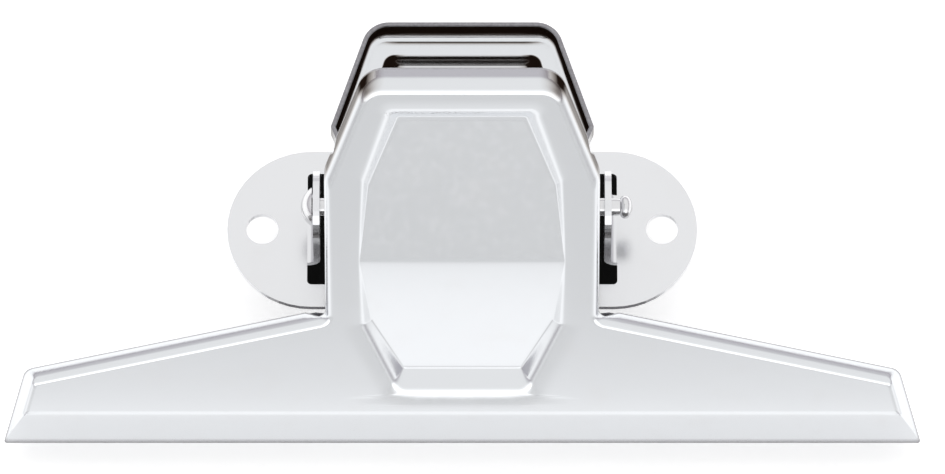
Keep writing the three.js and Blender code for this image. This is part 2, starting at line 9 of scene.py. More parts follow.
import bmesh
import bpy
import numpy as np
from bpy.props import FloatProperty, FloatVectorProperty, PointerProperty
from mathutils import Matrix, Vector


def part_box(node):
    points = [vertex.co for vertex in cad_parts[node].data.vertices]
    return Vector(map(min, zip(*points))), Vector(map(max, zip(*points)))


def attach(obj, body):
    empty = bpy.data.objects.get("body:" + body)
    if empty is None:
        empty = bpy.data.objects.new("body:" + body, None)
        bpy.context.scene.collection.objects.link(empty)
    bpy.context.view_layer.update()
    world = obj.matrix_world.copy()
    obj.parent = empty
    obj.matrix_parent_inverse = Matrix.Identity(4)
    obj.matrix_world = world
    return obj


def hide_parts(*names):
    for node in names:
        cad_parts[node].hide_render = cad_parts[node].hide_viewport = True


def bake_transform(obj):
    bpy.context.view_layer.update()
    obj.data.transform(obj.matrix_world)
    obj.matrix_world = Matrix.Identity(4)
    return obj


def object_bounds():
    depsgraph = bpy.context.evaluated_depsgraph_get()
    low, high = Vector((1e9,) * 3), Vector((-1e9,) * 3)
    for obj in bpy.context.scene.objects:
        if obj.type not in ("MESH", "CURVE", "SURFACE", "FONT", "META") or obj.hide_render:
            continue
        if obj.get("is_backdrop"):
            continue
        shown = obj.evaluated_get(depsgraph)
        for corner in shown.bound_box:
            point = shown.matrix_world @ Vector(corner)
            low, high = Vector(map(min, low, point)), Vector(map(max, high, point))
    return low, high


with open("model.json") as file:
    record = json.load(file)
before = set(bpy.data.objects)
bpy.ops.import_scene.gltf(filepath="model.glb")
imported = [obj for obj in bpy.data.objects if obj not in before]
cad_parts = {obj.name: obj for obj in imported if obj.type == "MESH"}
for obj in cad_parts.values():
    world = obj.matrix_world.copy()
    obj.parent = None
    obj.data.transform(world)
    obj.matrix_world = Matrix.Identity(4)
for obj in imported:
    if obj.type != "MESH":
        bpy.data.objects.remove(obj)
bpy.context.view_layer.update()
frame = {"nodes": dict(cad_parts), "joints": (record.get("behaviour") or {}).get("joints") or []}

bl_info = {
    "name": "Bulldog Clip",
    "version": (1, 0, 0),
    "blender": (4, 5, 0),
    "location": "View3D > Sidebar > Clip",
    "description": "Builds a sprung letter clip of pressed and plated sheet steel",
    "category": "Object",
}

MM = 0.001
RIGHT_ANGLE = math.pi / 2
SMALLEST_RADIUS = 0.06 * MM
MERGE_DISTANCE = 0.001 * MM
SHARP_ANGLE = math.radians(38)
HOLE_SIDES = 64

# Where the frame puts the pin, the pin's ends and the lip line
pin_point = Vector(frame["joints"][0]["pos_m"])
lip_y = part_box("rear_jaw")[0].y
pin_low, pin_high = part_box("pivot_pin")
PIN_MIDDLE = np.array([0, pin_point.y, pin_point.z])


def number(name, description, value, **kind):
    return FloatProperty(name=name, description=description, default=value, **kind)


def length(name, description, millimetres):
    """A property that holds a length, given here in millimetres and kept in metres."""
    return number(name, description, millimetres * MM, unit="LENGTH", precision=5)


def angle(name, description, degrees):
    """A property that holds an angle, given here in degrees and kept in radians."""
    return number(name, description, math.radians(degrees), unit="ROTATION")


def share(name, description, value):
    return number(name, description, value, soft_min=0, soft_max=1, subtype="FACTOR")


def colour(name, description, value):
    return FloatVectorProperty(
        name=name, description=description, default=value, size=3, min=0, subtype="COLOR"
    )


class JawSizes(bpy.types.PropertyGroup):
    """Outline and sheet of both jaws. Heights along a jaw are measured up from its lip line."""

    width: length("Width", "Width along the biting edge", 125)
    length: length("Length", "From the lip line to the handle's top edge", 62.5)
    depth: length("Depth", "From the plane of the rim to the outer face", 3.2)
    sheet: length("Sheet", "Thickness of the sheet steel", 0.6)
    open_angle: angle("Open angle", "Angle between the jaws at rest", 60)
    lip_gap: length("Lip gap", "Gap between the two rims at the lips", 0.35)
    handle_width: length("Handle width", "Width of the handle's top edge", 25.8)
    handle_length: length("Handle length", "From the handle's top edge to the neck", 16.2)
    handle_corner: length("Handle corner", "Radius of the handle's corners", 3.75)
    neck_width: length("Neck width", "Width over the front jaw's cheeks", 36.9)
    shoulder: length("Shoulder", "Radius of the corner between handle and neck", 5)
    neck_corner: length("Neck corner", "Radius of the corner between neck and wing", 1.2)
    wing_top: length("Wing top", "Height of the wing at the neck", 22.9)
    wing_end: length("Wing end", "Height of the wing at its end", 12.5)
    wing_slant: length("Wing slant", "How far the wing's end leans inwards", 3.2)
    wing_corner: length("Wing corner", "Radius of the wing's end corner", 1.8)
    lip_corner: length("Lip corner", "Radius of the lip's corners", 0.3)
    rear_handle: length("Rear handle", "Length of the rear handle above its step", 16.2)
    rear_step: length("Rear step length", "Length of the step in the rear handle", 1.8)
    rear_step_width: length("Rear step width", "How far the step draws in", 0.75)
    rear_top_drop: length("Rear wing drop", "How much lower the rear wing meets its neck", 3.2)
    rear_end_drop: length("Rear end drop", "How much lower the rear wing ends", 2.1)


class FoldSizes(bpy.types.PropertyGroup):
    """Bends, flanges, cheeks and cut edges of both jaws."""

    handle_top: length("Handle top bend", "Outside radius over the handle's top", 1.8)
    handle_side: length("Handle side bend", "Outside radius along the handle's sides", 1.4)
    neck: length("Neck bend", "Outside radius along the neck", 1.2)
    wing: length("Wing bend", "Outside radius along the wing", 0.95)
    end: length("End bend", "Outside radius at the wing's end", 0.9)
    end_slope: angle("End slope", "Slope of the wing's end wall", 68)
    lip: length("Lip bend", "Outside radius of the shallow bend above the lip", 4)
    lip_slope: angle("Lip slope", "Slope of the lip", 21)
    handle_drop: length("Handle drop", "How far the front flange reaches past the rim", 0.7)
    shoulder_drop: length("Shoulder drop", "The same at the corner between handle and neck", 0.2)
    neck_drop: length("Neck drop", "How far the neck's flange reaches past the rim", 2)
    notch_place: length("Notch place", "From the neck's corner up to the notch", 3.9)
    notch_width: length("Notch width", "Width of the notch in the handle's flange", 2.8)
    notch_height: length("Notch height", "How far the notch cuts into the flange", 1.4)
    relief_height: length("Relief height", "Height of the relief cut under the wing", 1.4)
    relief_width: length("Relief width", "Width of the relief cut under the wing", 1.6)
    front_cheek: length("Front cheek end", "Radius of the front cheek about the pin", 5)
    rear_cheek: length("Rear cheek end", "Radius of the rear cheek about the pin", 4.6)
    cheek_gap: length("Cheek gap", "Gap between the front and the rear cheek", 0.45)
    hole: length("Pin hole", "Radius of the hole for the pin", 1.35)
    seat_height: length("Seat height", "Height of the plate's seat inwards from the rim", 7.32)
    seat_inner: length("Seat inner end", "Height along the jaw of the seat's inner end", 35.3)
    seat_outer: length("Seat outer end", "Height along the jaw of the seat's outer end", 38.2)
    edge_round: length("Edge rounding", "Radius along the sheet's cut edges", 0.13)
    curl: length("Curl", "How far a wing's flange curls in at its cut edge", 0.14)


class PanelSizes(bpy.types.PropertyGroup):
    """The thumb panel pressed into each jaw: two facets that meet in a crease."""

    top: length("Top", "Height of the panel's upper end", 58.4)
    top_half: length("Top half width", "Half the width at the upper end", 10.4)
    shoulder: length("Shoulder", "Height of the upper corner at the side", 46.6)
    shoulder_half: length("Shoulder half width", "Half the width at the shoulder", 13.65)
    crease: length("Crease", "Height of the crease", 32.8)
    crease_half: length("Crease half width", "Half the width at the crease", 14)
    hip: length("Hip", "Height of the lower corner at the side", 22.2)
    hip_half: length("Hip half width", "Half the width at the hip", 13.9)
    bottom: length("Bottom", "Height of the panel's lower end", 10.6)
    bottom_half: length("Bottom half width", "Half the width at the lower end", 9.1)
    crease_depth: length("Crease depth", "Depth of the floor along the crease", 0.25)
    top_depth: length("Top depth", "Depth of the floor at the upper end", 2)
    bottom_depth: length("Bottom depth", "Depth of the floor at the lower end", 2.6)
    corner: length("Mouth corner", "Corner radius of the panel's mouth", 1.6)
    lower_corner: length("Lower corner", "Radius of the mouth's corners at its lower end", 2.4)
    floor_corner: length("Floor corner", "Corner radius of the panel's floor", 0.3)
    crease_soft: length("Crease rounding", "Half width over which the crease is rounded", 0.25)
    mouth_soft: share("Mouth softness", "Share of the wall that rounds into the face", 0.5)
    floor_soft: share("Floor softness", "Share of the wall that rounds into the floor", 0.12)
    sink: length("Sink", "How far the face sinks towards the panel's mouth", 0.18)
    sink_width: length("Sink width", "Width of the sunk edge round the panel", 2.4)


class PinSizes(bpy.types.PropertyGroup):
    """The riveted pin with its domed head and peened end."""

    diameter: length("Diameter", "Diameter of the pin", 2.4)
    dome: length("Dome diameter", "Diameter of the domed head", 5.3)
    dome_height: length("Dome height", "Height of the domed head", 1.5)
    neck: length("Neck", "Plain length outside the right lug", 0.7)
    peened: length("Peened diameter", "Diameter of the peened end", 3.2)
    peened_length: length("Peened length", "Length of the peened end", 2)
    peened_angle: angle("Peened angle", "Where the peened end swells from the shank", 135)


class SpringSizes(bpy.types.PropertyGroup):
    """The torsion spring about the pin."""

    wire: length("Wire", "Diameter of the wire", 1.8)
    radius: length("Radius", "From the pin's axis to the middle of the wire", 3.4)
    half_length: length("Half length", "Half the length of the coil's middle line", 10.2)
    turns: number("Turns", "Turns of the coil between its legs", 8)
    leg_angle: angle("Leg angle", "How steeply the rear leg runs down", 45)
    foot_gap: length("Foot gap", "Gap between a foot and the sheet it presses on", 0.3)
    foot_length: length("Foot length", "Length of the straight end of a foot", 3)
    foot_bend: length("Foot bend", "Bend radius between leg and foot", 3)


class Finishes(bpy.types.PropertyGroup):
    """Colours and gloss of the plated steel."""

    jaw_colour: colour("Jaw plating", "Reflected colour of the jaws' plating", (0.70, 0.715, 0.735))
    plate_colour: colour("Plate plating", "Reflected colour of the plate", (0.74, 0.745, 0.76))
    pin_colour: colour("Pin plating", "Reflected colour of the pin", (0.7, 0.7, 0.71))
    spring_colour: colour("Spring steel", "Reflected colour of the spring", (0.46, 0.46, 0.48))
    edge_colour: colour("Cut edges", "Colour of the sheet's cut edges", (0.2, 0.19, 0.205))
    # Painted shade: the near-black matte colour painted into the jaws' folds and hollows and over
    # darker reflections, and the tint the plating takes beneath it
    painted_shade_colour: colour("Painted shade", "Colour of the dull coat in the folds", (0.012, 0.007, 0.005))
    shade_tint_colour: colour("Shade tint", "Colour of the plating below the coat", (0.6, 0.52, 0.46))
    stain_colour: colour("Stains", "Colour of the plating where it is thin", (0.55, 0.5, 0.47))
    wire_stain: colour("Oiled bands", "Colour of the dark bands on the wire", (0.3, 0.29, 0.29))
    speck_colour: colour("Specks", "Colour of the specks where thumbs press", (0.1, 0.09, 0.09))
    jaw_gloss: share("Jaw roughness", "Roughness of the jaws' plating", 0.13)
    plate_gloss: share("Plate roughness", "Roughness of the plate", 0.2)
    pin_gloss: share("Pin roughness", "Roughness of the pin", 0.14)
    spring_gloss: share("Spring roughness", "Roughness of the spring wire", 0.3)
    jaw_waves: length("Jaw waves", "Height of the waves that the press leaves on a jaw", 0.012)
    plate_waves: length("Plate waves", "Height of the waves on the plate", 0.004)
    pin_waves: length("Pin waves", "Height of the waves on the pin", 0.006)


class Studio(bpy.types.PropertyGroup):
    """Camera, floor and light."""

    elevation: angle("Camera elevation", "How far the camera looks down", 67)
    distance: number("Camera distance", "From the camera to the aim point, in metres", 1.5)
    lens: number("Lens", "Focal length in millimetres on a 36 mm sensor", 419.2)
    aim_side: length("Aim side", "How far the aim point lies right of the middle", 1.4)
    aim_up: length("Aim up", "How far above the lip the picture's middle lies", 27.67)
    floor_colour: colour("Floor", "Colour of the pale floor", (0.9, 0.9, 0.9))
    floor_glow: share("Floor glow", "Light that the floor sends out by itself", 0.14)
    floor_size: number("Floor size", "Half the width of the floor, in metres", 3)
    sky_light: number("Sky light", "Brightness of the sky", 1.1)


# Meshes


def grid_faces(rows, columns):
    """Quads between neighbouring rows of a grid whose rows close on themselves."""
    row = np.arange(rows - 1)[:, None] * columns
    this = np.arange(columns)[None, :]
    following = (this + 1) % columns
    corners = [row + this, row + following, row + columns + following, row + columns + this]
    return np.stack(corners, -1).reshape(-1, 4)


def raised(flat, height):
    """Points in the plane with their height as a third value."""
    return np.concatenate([flat, height[..., None]], -1)


def whole_turn(count):
    """Bearings at equal shares of one turn."""
    return np.linspace(0, 2 * math.pi, count, endpoint=False)


def round_x(place, radius, bearing):
    """Points round the X axis: (place, radius * cos(bearing), radius * sin(bearing))."""
    place, radius, bearing = np.broadcast_arrays(place, radius, bearing)
    return np.stack([place, radius * np.cos(bearing), radius * np.sin(bearing)], -1)


def unit(vectors):
    """Vectors of length one in the same directions."""
    return vectors / np.maximum(np.linalg.norm(vectors, axis=-1, keepdims=True), 1e-12)


def closed_mesh(name, rings, attributes=None):
    """A smooth closed mesh over rings of points, (rows, columns, 3), with its faces outwards.

    The signed volume is a sixth of the sum, over the faces cut into triangles, of the triple
    product of their corners; where it is negative, every face is turned over."""
    faces = grid_faces(*rings.shape[:2])
    points = rings.reshape(-1, 3)
    a, b, c, d = (points[faces[:, i]] for i in range(4))
    volume = (a * np.cross(b, c)).sum() + (a * np.cross(c, d)).sum()
    if volume < 0:
        faces = faces[:, ::-1]
    mesh = bpy.data.meshes.new(name)
    mesh.from_pydata(points, [], faces)
    for key, values in (attributes or {}).items():
        layer = mesh.attributes.new(key, "FLOAT", "POINT")
        layer.data.foreach_set("value", values.ravel().astype(np.float32))
    bare = bmesh.new()
    bare.from_mesh(mesh)
    bmesh.ops.remove_doubles(bare, verts=bare.verts, dist=MERGE_DISTANCE)
    bmesh.ops.dissolve_degenerate(bare, edges=bare.edges, dist=MERGE_DISTANCE / 10)
    bare.to_mesh(mesh)
    bare.free()
    mesh.validate()
    return mesh


def add_object(name, data):
    """An object in the scene that holds a mesh or a camera."""
    made = bpy.data.objects.new(name, data)
    bpy.context.scene.collection.objects.link(made)
    return made


def finish_piece(mesh, body, node, material):
    """Adds a mesh to the scene as the piece that stands for a node of the model."""
    mesh.polygons.foreach_set("use_smooth", np.ones(len(mesh.polygons), bool))
    mesh.set_sharp_from_angle(angle=SHARP_ANGLE)
    mesh.materials.clear()
    mesh.materials.append(material)
    piece = add_object(mesh.name, mesh)
    if body:
        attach(piece, body)
    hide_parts(node)
    return piece


def drilled(mesh, centre, radius, half_length):
    """A copy of the mesh with a round hole cut through it along X."""
    places = np.array([[-half_length], [half_length]])
    ends = round_x(places, radius, whole_turn(HOLE_SIDES)) + np.array(centre)
    cutter_mesh = bpy.data.meshes.new("cutter")
    caps = [list(range(HOLE_SIDES))[::-1], list(range(HOLE_SIDES, 2 * HOLE_SIDES))]
    sides = grid_faces(2, HOLE_SIDES).tolist()
    cutter_mesh.from_pydata(ends.reshape(-1, 3), [], [*sides, *caps])
    cutter, whole = add_object("cutter", cutter_mesh), add_object("whole", mesh)
    cut = whole.modifiers.new("hole", "BOOLEAN")
    cut.operation = "DIFFERENCE"
    cut.solver = "EXACT"
    cut.object = cutter
    bpy.context.view_layer.update()
    evaluated = whole.evaluated_get(bpy.context.evaluated_depsgraph_get())
    result = bpy.data.meshes.new_from_object(evaluated)
    name = mesh.name
    for item in (whole, cutter):
        bpy.data.objects.remove(item)
    bpy.data.meshes.remove(cutter_mesh)
    bpy.data.meshes.remove(mesh)
    result.name = name
    return result


# Jaws. In a jaw's own frame x runs across it, s up from its lip line, and h outwards from its rim.


class Corner(NamedTuple):
    """A corner of a jaw's outline with the edge that runs on from it, down the left side.

    cut is the height of the flange's cut edge at the corner, and course holds the points of the
    cut edge along the edge, each as (way along the edge, height)."""

    x: float
    s: float
    radius: float
    cut: float
    bend: float
    slope: float
    steps: int
    curl: float = 0
    course: tuple = ()


# Steps round corners, over bends and along the edges, and the rows of a flange
ARC_STEPS, BEND_STEPS = 12, 10
FLANGE_SHARES = np.array([0.06, 0.22, 0.42, 0.62, 0.82])
HANDLE_STEPS, STEP_STEPS, NECK_STEPS, WING_STEPS = 30, 7, 100, 34
END_STEPS, LIP_STEPS, TOP_STEPS = 10, 60, 24
CREASE_STEPS, HIP_STEPS = 10, 60


def edge_length(corner, following):
    return math.hypot(following.x - corner.x, following.s - corner.s)


def mirrored(left, top_bend):
    """The closed outline of a jaw from its left half. The right half's edges run back up, and the
    last one closes the handle's top."""
    right = []
    for i, corner in enumerate(left):
        if i == 0:
            right.append(corner._replace(x=-corner.x, bend=top_bend, steps=TOP_STEPS, course=()))
            continue
        last = left[i - 1]
        size = edge_length(last, corner)
        course = tuple((size - way, height) for way, height in reversed(last.course))
        right.append(last._replace(
            x=-corner.x, s=corner.s, radius=corner.radius, cut=corner.cut, course=course
        ))
    return left + right[::-1]


def corner_arcs(corners, radii, before, after):
    """Arcs that round the corners of a closed outline whose edges are moved inwards.

    corners is (n, 2), radii (n,), and before and after are (rows, n): how far the edge before and
    the edge after each corner move. The arc touches both moved edges: it starts short of where
    they meet by radius * tan(turn / 2), and its spoke then turns through the corner's turn.
    Returns points (rows, n, steps, 2) and outward directions (n, steps, 2)."""
    ahead = unit(np.roll(corners, -1, 0) - corners)
    behind = np.roll(ahead, 1, 0)
    turn = np.arctan2(
        behind[:, 0] * ahead[:, 1] - behind[:, 1] * ahead[:, 0], (behind * ahead).sum(1)
    )
    bulge = np.sign(turn)
    radius = np.maximum(radii - bulge * (before + after) / 2, SMALLEST_RADIUS)
    slide = (after - before * np.cos(turn)) / np.sin(turn)
    back = slide + radius * np.tan(np.abs(turn) / 2)
    inwards = np.stack([-behind[:, 1], behind[:, 0]], -1)
    start = corners + inwards * before[..., None] - behind * back[..., None]
    spoke = -bulge[:, None] * inwards
    centre = start - spoke * radius[..., None]
    bearing = turn[:, None] * np.linspace(0, 1, ARC_STEPS + 1)
    cosine, sine = np.cos(bearing), np.sin(bearing)
    x, s = spoke[:, :1], spoke[:, 1:]
    spokes = np.stack([x * cosine - s * sine, x * sine + s * cosine], -1)
    points = centre[..., None, :] + spokes * radius[..., None, None]
    return points, spokes * bulge[:, None, None]


def joined(arcs, steps):
    """One closed ring from the arcs of its corners: between arc i and the next one the ring runs
    straight, with steps[i] points at equal shares of the way."""
    parts = []
    for i, count in enumerate(steps):
        start, end = arcs[..., i, -1, :], arcs[..., (i + 1) % len(steps), 0, :]
        part = (np.arange(1, count + 1) / (count + 1))[:, None]
        parts += [arcs[..., i, :, :], start[..., None, :] * (1 - part) + end[..., None, :] * part]
    return np.concatenate(parts, axis=-2)


def arcs_between(before, after):
    """Values that run evenly over each corner's arc, from the edge before it to the one after."""
    part = np.linspace(0, 1, ARC_STEPS + 1)
    return before[..., None] * (1 - part) + after[..., None] * part


def sampled(course, count):
    """count inner points of a polyline at equal ways along it, except that the nearest ones are
    moved onto its sharp corners."""
    line = np.array(course)
    way = np.concatenate([[0], np.cumsum(np.linalg.norm(np.diff(line, axis=0), axis=1))])
    steps = np.linspace(0, way[-1], count + 2)[1:-1]
    headings = unit(np.diff(line, axis=0))
    sharp = (headings[1:] * headings[:-1]).sum(1) < math.cos(SHARP_ANGLE / 2)
    for place in way[1:-1][sharp]:
        steps[np.argmin(np.abs(steps - place))] = place
    return np.stack([np.interp(steps, way, line[:, 0]), np.interp(steps, way, line[:, 1])], -1)


class Outline:
    """A jaw's closed outline as arrays, with the rows of its bends and its cut edge."""

    def __init__(self, corners, sheet, depth):
        self.corners, self.sheet, self.depth = corners, sheet, depth
        columns = [np.array([corner[i] for corner in corners]) for i in range(8)]
        self.points = np.stack(columns[:2], -1)
        self.radii, self.cuts, self.bend, self.slope, self.steps, self.curls = columns[2:]

    def rings(self, insets, heights):
        """Rings (rows, n, 3) for edges moved inwards by insets at heights, both (rows, edges)."""
        before = np.roll(insets, 1, axis=1)
        flat, _ = corner_arcs(self.points, self.radii, before, insets)
        up = arcs_between(np.roll(heights, 1, axis=1), heights)
        return joined(raised(flat, up), self.steps)

    def bend_rings(self, inner):
        """Rings down a bend from the face. At tilt t the outer side lies radius * (sin(slope) -
        sin(t)) further in than where the bend ends, and radius * (1 - cos(t)) below the face."""
        part = np.linspace(0, 1, BEND_STEPS + 1)[:, None]
        tilt = self.slope * part
        wall_top = self.depth - self.bend * (1 - np.cos(self.slope))
        open_bend = self.slope < RIGHT_ANGLE - 0.01
        tangent = np.where(open_bend, np.tan(np.where(open_bend, self.slope, 1)), 1)
        run = np.where(open_bend, (wall_top - self.sheet * np.cos(self.slope)) / tangent, 0)
        inset = run + self.bend * (np.sin(self.slope) - np.sin(tilt))
        height = self.depth - self.bend * (1 - np.cos(tilt))
        if inner:
            inset, height = inset + self.sheet * np.sin(tilt), height - self.sheet * np.cos(tilt)
        return self.rings(inset, height)

    def cut_ring(self, inner):
        """The corner of the cut edge on one side of the sheet, following each edge's course."""
        inset = self.sheet * np.sin(self.slope) * inner
        height = self.sheet * np.cos(self.slope) * (1 - inner)
        before = np.roll(inset, 1)
        flat, _ = corner_arcs(self.points, self.radii, before[None], inset[None])
        arcs = raised(flat[0], arcs_between(np.roll(height, 1), height) + self.cuts[:, None])
        ahead = unit(np.roll(self.points, -1, 0) - self.points)
        parts = []
        for i, corner in enumerate(self.corners):
            start, end = arcs[i, -1], arcs[(i + 1) % len(arcs), 0]
            ways = [(point[:2] - self.points[i]) @ ahead[i] for point in (start, end)]
            course = [(ways[0], start[2]), *corner.course, (ways[1], end[2])]
            way, level = sampled(course, corner.steps).T
            inwards = np.array([-ahead[i, 1], ahead[i, 0]])
            base = self.points[i] + inwards * inset[i]
            parts += [arcs[i], np.column_stack([base + way[:, None] * ahead[i], level])]
        return np.concatenate(parts)

    def normals(self):
        """Outward directions of the flanges, (sin(slope) * outwards, cos(slope)), and the curl."""
        zero = np.zeros((1, len(self.corners)))
        _, outwards = corner_arcs(self.points, self.radii, zero, zero)
        slope = arcs_between(np.roll(self.slope, 1), self.slope)[..., None]
        arcs = np.concatenate([outwards * np.sin(slope), np.cos(slope)], -1)
        curls = arcs_between(np.roll(self.curls, 1), self.curls)[..., None]
        return unit(joined(arcs, self.steps)), joined(curls, self.steps)

    def flange_rings(self, rounding):
        """Rings from the outer bend down the flange, round the cut edge and back up inside.

        The flange bows out and curls in by curl * (1.2 * share * (1 - share) - share ** 2). Its
        cut edge is rounded on both sides by a quarter circle in the directions into the sheet and
        up the flange."""
        outward, curl = self.normals()
        outer, inner = self.cut_ring(0), self.cut_ring(1)
        course = np.roll(outer, -1, 0) - np.roll(outer, 1, 0)
        upward = unit(np.cross(outward, course))
        outer, inner = outer - outward * curl, inner - outward * curl
        quarter = np.linspace(0, RIGHT_ANGLE, 4)
        lift = rounding * (1 - np.sin(quarter))
        into = rounding * (1 - np.cos(quarter)) / self.sheet
        lifts = np.concatenate([lift, lift[::-1]])[:, None, None]
        intos = np.concatenate([into, 1 - into[::-1]])[:, None, None]
        edge = outer * (1 - intos) + inner * intos + upward * lifts
        sides = []
        ends = (self.bend_rings(0)[-1], edge[0]), (self.bend_rings(1)[-1], edge[-1])
        for bend_end, cut in ends:
            part = FLANGE_SHARES[:, None, None]
            straight = cut + outward * curl
            bow = 1.2 * part * (1 - part) - part**2
            sides.append(bend_end * (1 - part) + straight * part + outward * curl * bow)
        return sides[0], edge, sides[1][::-1]


def smooth_ramp(part, start, end):
    """A ramp from 0 to 1 whose first share start and last share end are parabolas."""
    rate = 1 / (1 - start / 2 - end / 2)
    rising = rate * part**2 / (2 * start)
    falling = 1 - rate * (1 - part) ** 2 / (2 * end)
    middle = rate * (part - start / 2)
    return np.where(part < start, rising, np.where(part > 1 - end, falling, middle))


def panel_depth(panel, s):
    """Depth of the panel's floor: a straight fall from the crease to either end, with the crease
    rounded as the square root of distance squared plus softness squared."""
    rise = (panel.top_depth - panel.crease_depth) / (panel.top - panel.crease)
    fall = (panel.bottom_depth - panel.crease_depth) / (panel.crease - panel.bottom)
    away = s - panel.crease
    soft = np.sqrt(away**2 + panel.crease_soft**2)
    return panel.crease_depth + rise * (soft + away) / 2 + fall * (soft - away) / 2


# How far the floor's corners lie inside the mouth's for each unit of depth: sideways and lengthwise
PANEL_RUNS = np.array([(1, -1.3), (1, -1.3), (1, 0), (1.3, 0), (0.5, 1.05)])
LOWER_CORNERS = slice(4, 6)  # of the ten corners, the two at the lower end


def panel_outlines(panel, spread):
    """Corners of the panel's mouth and floor, (10, 2) each, moved outwards by spread. They run
    down the left side and up the right one."""
    half = np.array([
        (-panel.top_half, panel.top), (-panel.shoulder_half, panel.shoulder),
        (-panel.crease_half, panel.crease), (-panel.hip_half, panel.hip),
        (-panel.bottom_half, panel.bottom),
    ])
    outwards = np.array([(-1, 1), (-1, 1), (-1, 0), (-1, 0), (-1, -1)]) * spread
    mouth = half + outwards
    floor = mouth + PANEL_RUNS * panel_depth(panel, half[:, 1:])
    return [np.concatenate([left, left[::-1] * [-1, 1]]) for left in (mouth, floor)]


# The face's rows by their way from its edge and from the mouth, each with the share of the room
# that it takes at most, and the rows of the wall and the floor by their share of the way
EDGE_WAYS = np.array([0, 0.08, 0.25, 0.6, 1.2, 2.4]) * MM
EDGE_SHARES = np.array([0, 0.03, 0.08, 0.15, 0.23, 0.32])
MOUTH_WAYS = np.array([18, 12, 8.5, 6, 4.4, 3.2, 2.4, 1.8, 1.3, 0.9, 0.55, 0.25, 0]) * MM
MOUTH_SHARES = np.array([0.66, 0.64, 0.62, 0.6, 0.58, 0.56, 0.46, 0.37, 0.28, 0.2, 0.13, 0.06, 0])
WALL_SHARES = np.array([0.06, 0.13, 0.2, 0.27, 0.34, 0.42, 0.5, 0.62, 0.76, 0.88, 0.92, 0.96, 1])
FLOOR_SHARES = np.array([0.03, 0.1, 0.25, 0.45, 0.65, 0.8, 0.9, 0.95, 0.975, 0.99, 1])


def distance_to(ring, points):
    """Distance from each point to a closed ring in the plane: the least over the ring's edges,
    each to the foot of the square on it, held between the edge's ends."""
    ahead = np.roll(ring, -1, 0) - ring
    offset = points[:, None] - ring
    foot = np.clip((offset * ahead).sum(-1) / (ahead**2).sum(-1), 0, 1)
    return np.linalg.norm(offset - foot[..., None] * ahead, axis=-1).min(1)


def panel_rings(panel, face_edge, level, spread, steps):
    """Rings from the face's edge over the face, down the panel's wall and across its floor.

    At a distance from the mouth the face has sunk by sink * (1 - distance / width) ** 2, and the
    wall takes over its slope there. Each floor point closes in on the crease, those from above
    and below on the same places, so that the last ring folds shut along it."""
    mouth_corners, floor_corners = panel_outlines(panel, spread)
    still = np.zeros((1, len(mouth_corners)))
    radii = np.full(len(mouth_corners), panel.corner)
    radii[LOWER_CORNERS] = panel.lower_corner
    floor_radii = np.full(len(floor_corners), panel.floor_corner)
    mouth = joined(corner_arcs(mouth_corners, radii, still, still)[0][0], steps)
    floor = joined(corner_arcs(floor_corners, floor_radii, still, still)[0][0], steps)
    edge = face_edge[:, :2]
    gap = np.linalg.norm(mouth - edge, axis=1)
    near = np.minimum(EDGE_WAYS[:, None] / gap, EDGE_SHARES[:, None])
    far = 1 - np.minimum(MOUTH_WAYS[:, None] / gap, MOUTH_SHARES[:, None])
    part = np.concatenate([near, far])[..., None]
    face = edge * (1 - part) + mouth * part
    away = np.stack([distance_to(mouth, ring) for ring in face])
    sink = panel.sink * np.maximum(1 - away / panel.sink_width, 0) ** 2
    face_rings = raised(face, level - sink)

    part = WALL_SHARES[:, None, None]
    wall = mouth * (1 - part) + floor * part
    part = part[..., 0]
    ramp = smooth_ramp(part, panel.mouth_soft, panel.floor_soft)
    run_on = 2 * np.linalg.norm(floor - mouth, axis=1) / panel.sink_width * part * (1 - part) ** 2
    drop = ramp * panel_depth(panel, floor[:, 1]) + panel.sink * (1 - ramp + run_on)
    wall_rings = raised(wall, level - drop)

    count = len(mouth)
    crease_left = sum(steps[:2]) + 2 * (ARC_STEPS + 1) + ARC_STEPS // 2
    turn = (np.arange(count) - crease_left) % count / (count // 2)
    across = 1 - np.abs(1 - turn)
    ends = floor[crease_left, 0], floor[(crease_left + count // 2) % count, 0]
    crease = np.stack([ends[0] + (ends[1] - ends[0]) * across, np.full(count, panel.crease)], -1)
    part = FLOOR_SHARES[:, None, None]
    flat = floor * (1 - part) + crease * part
    floor_rings = raised(flat, level - panel_depth(panel, flat[..., 1]))
    return np.concatenate([face_rings[1:], wall_rings, floor_rings])


def jaw_surface(outline, panel, rounding, panel_steps):
    """Points of a jaw's whole surface, (rows, n, 3), from the crease of its panel outside, over
    the face, bend, flange and cut edge, to the crease inside, and its marks, (rows, n) each."""
    spread = outline.sheet * math.tan(math.pi / 8)
    outer_bend, inner_bend = outline.bend_rings(0), outline.bend_rings(1)
    outer = panel_rings(panel, outer_bend[0], outline.depth, 0, panel_steps)
    inner = panel_rings(panel, inner_bend[0], outline.depth - outline.sheet, spread, panel_steps)
    down, edge, up = outline.flange_rings(rounding)
    parts = [outer[::-1], outer_bend, down, edge, up, inner_bend[::-1], inner]
    clean = [np.zeros(part.shape[:2]) for part in parts]
    marks = {
        "cut_edge": [*clean[:3], clean[3] + 1, *clean[4:]],
        "worn": [worn_edge(panel, outer)[::-1], *clean[1:]],
        # Painted shade: dark folds and hollows inside, and darker reflections along the handle
        # outside
        "grime": [
            clean[0], *outer_painted_shade(outline, outer_bend[0]), clean[3],
            *inner_painted_shade(outline, panel, outer_bend[0], inner),
        ],
    }
    return np.concatenate(parts), {key: np.concatenate(rows) for key, rows in marks.items()}


# How much painted shade covers each place: inside, the fold of the handle and of the wings, the
# panel's floor and wall and the dark line below the top; outside, the handle's sides and corners,
# where it stands for darker reflections
FOLD_SHADE, WING_SHADE, PANEL_FLOOR_SHADE, WALL_SHADE, LINE_DARKNESS = 1.0, 0.35, 0.16, 0.12, 0.93
SIDE_SHADE, CORNER_SHADE = 0.76, 0.95
# A flange's painted shade grows towards its cut edge by this share
EDGE_GAIN = 0.25  # how much more there is at a flange's cut edge
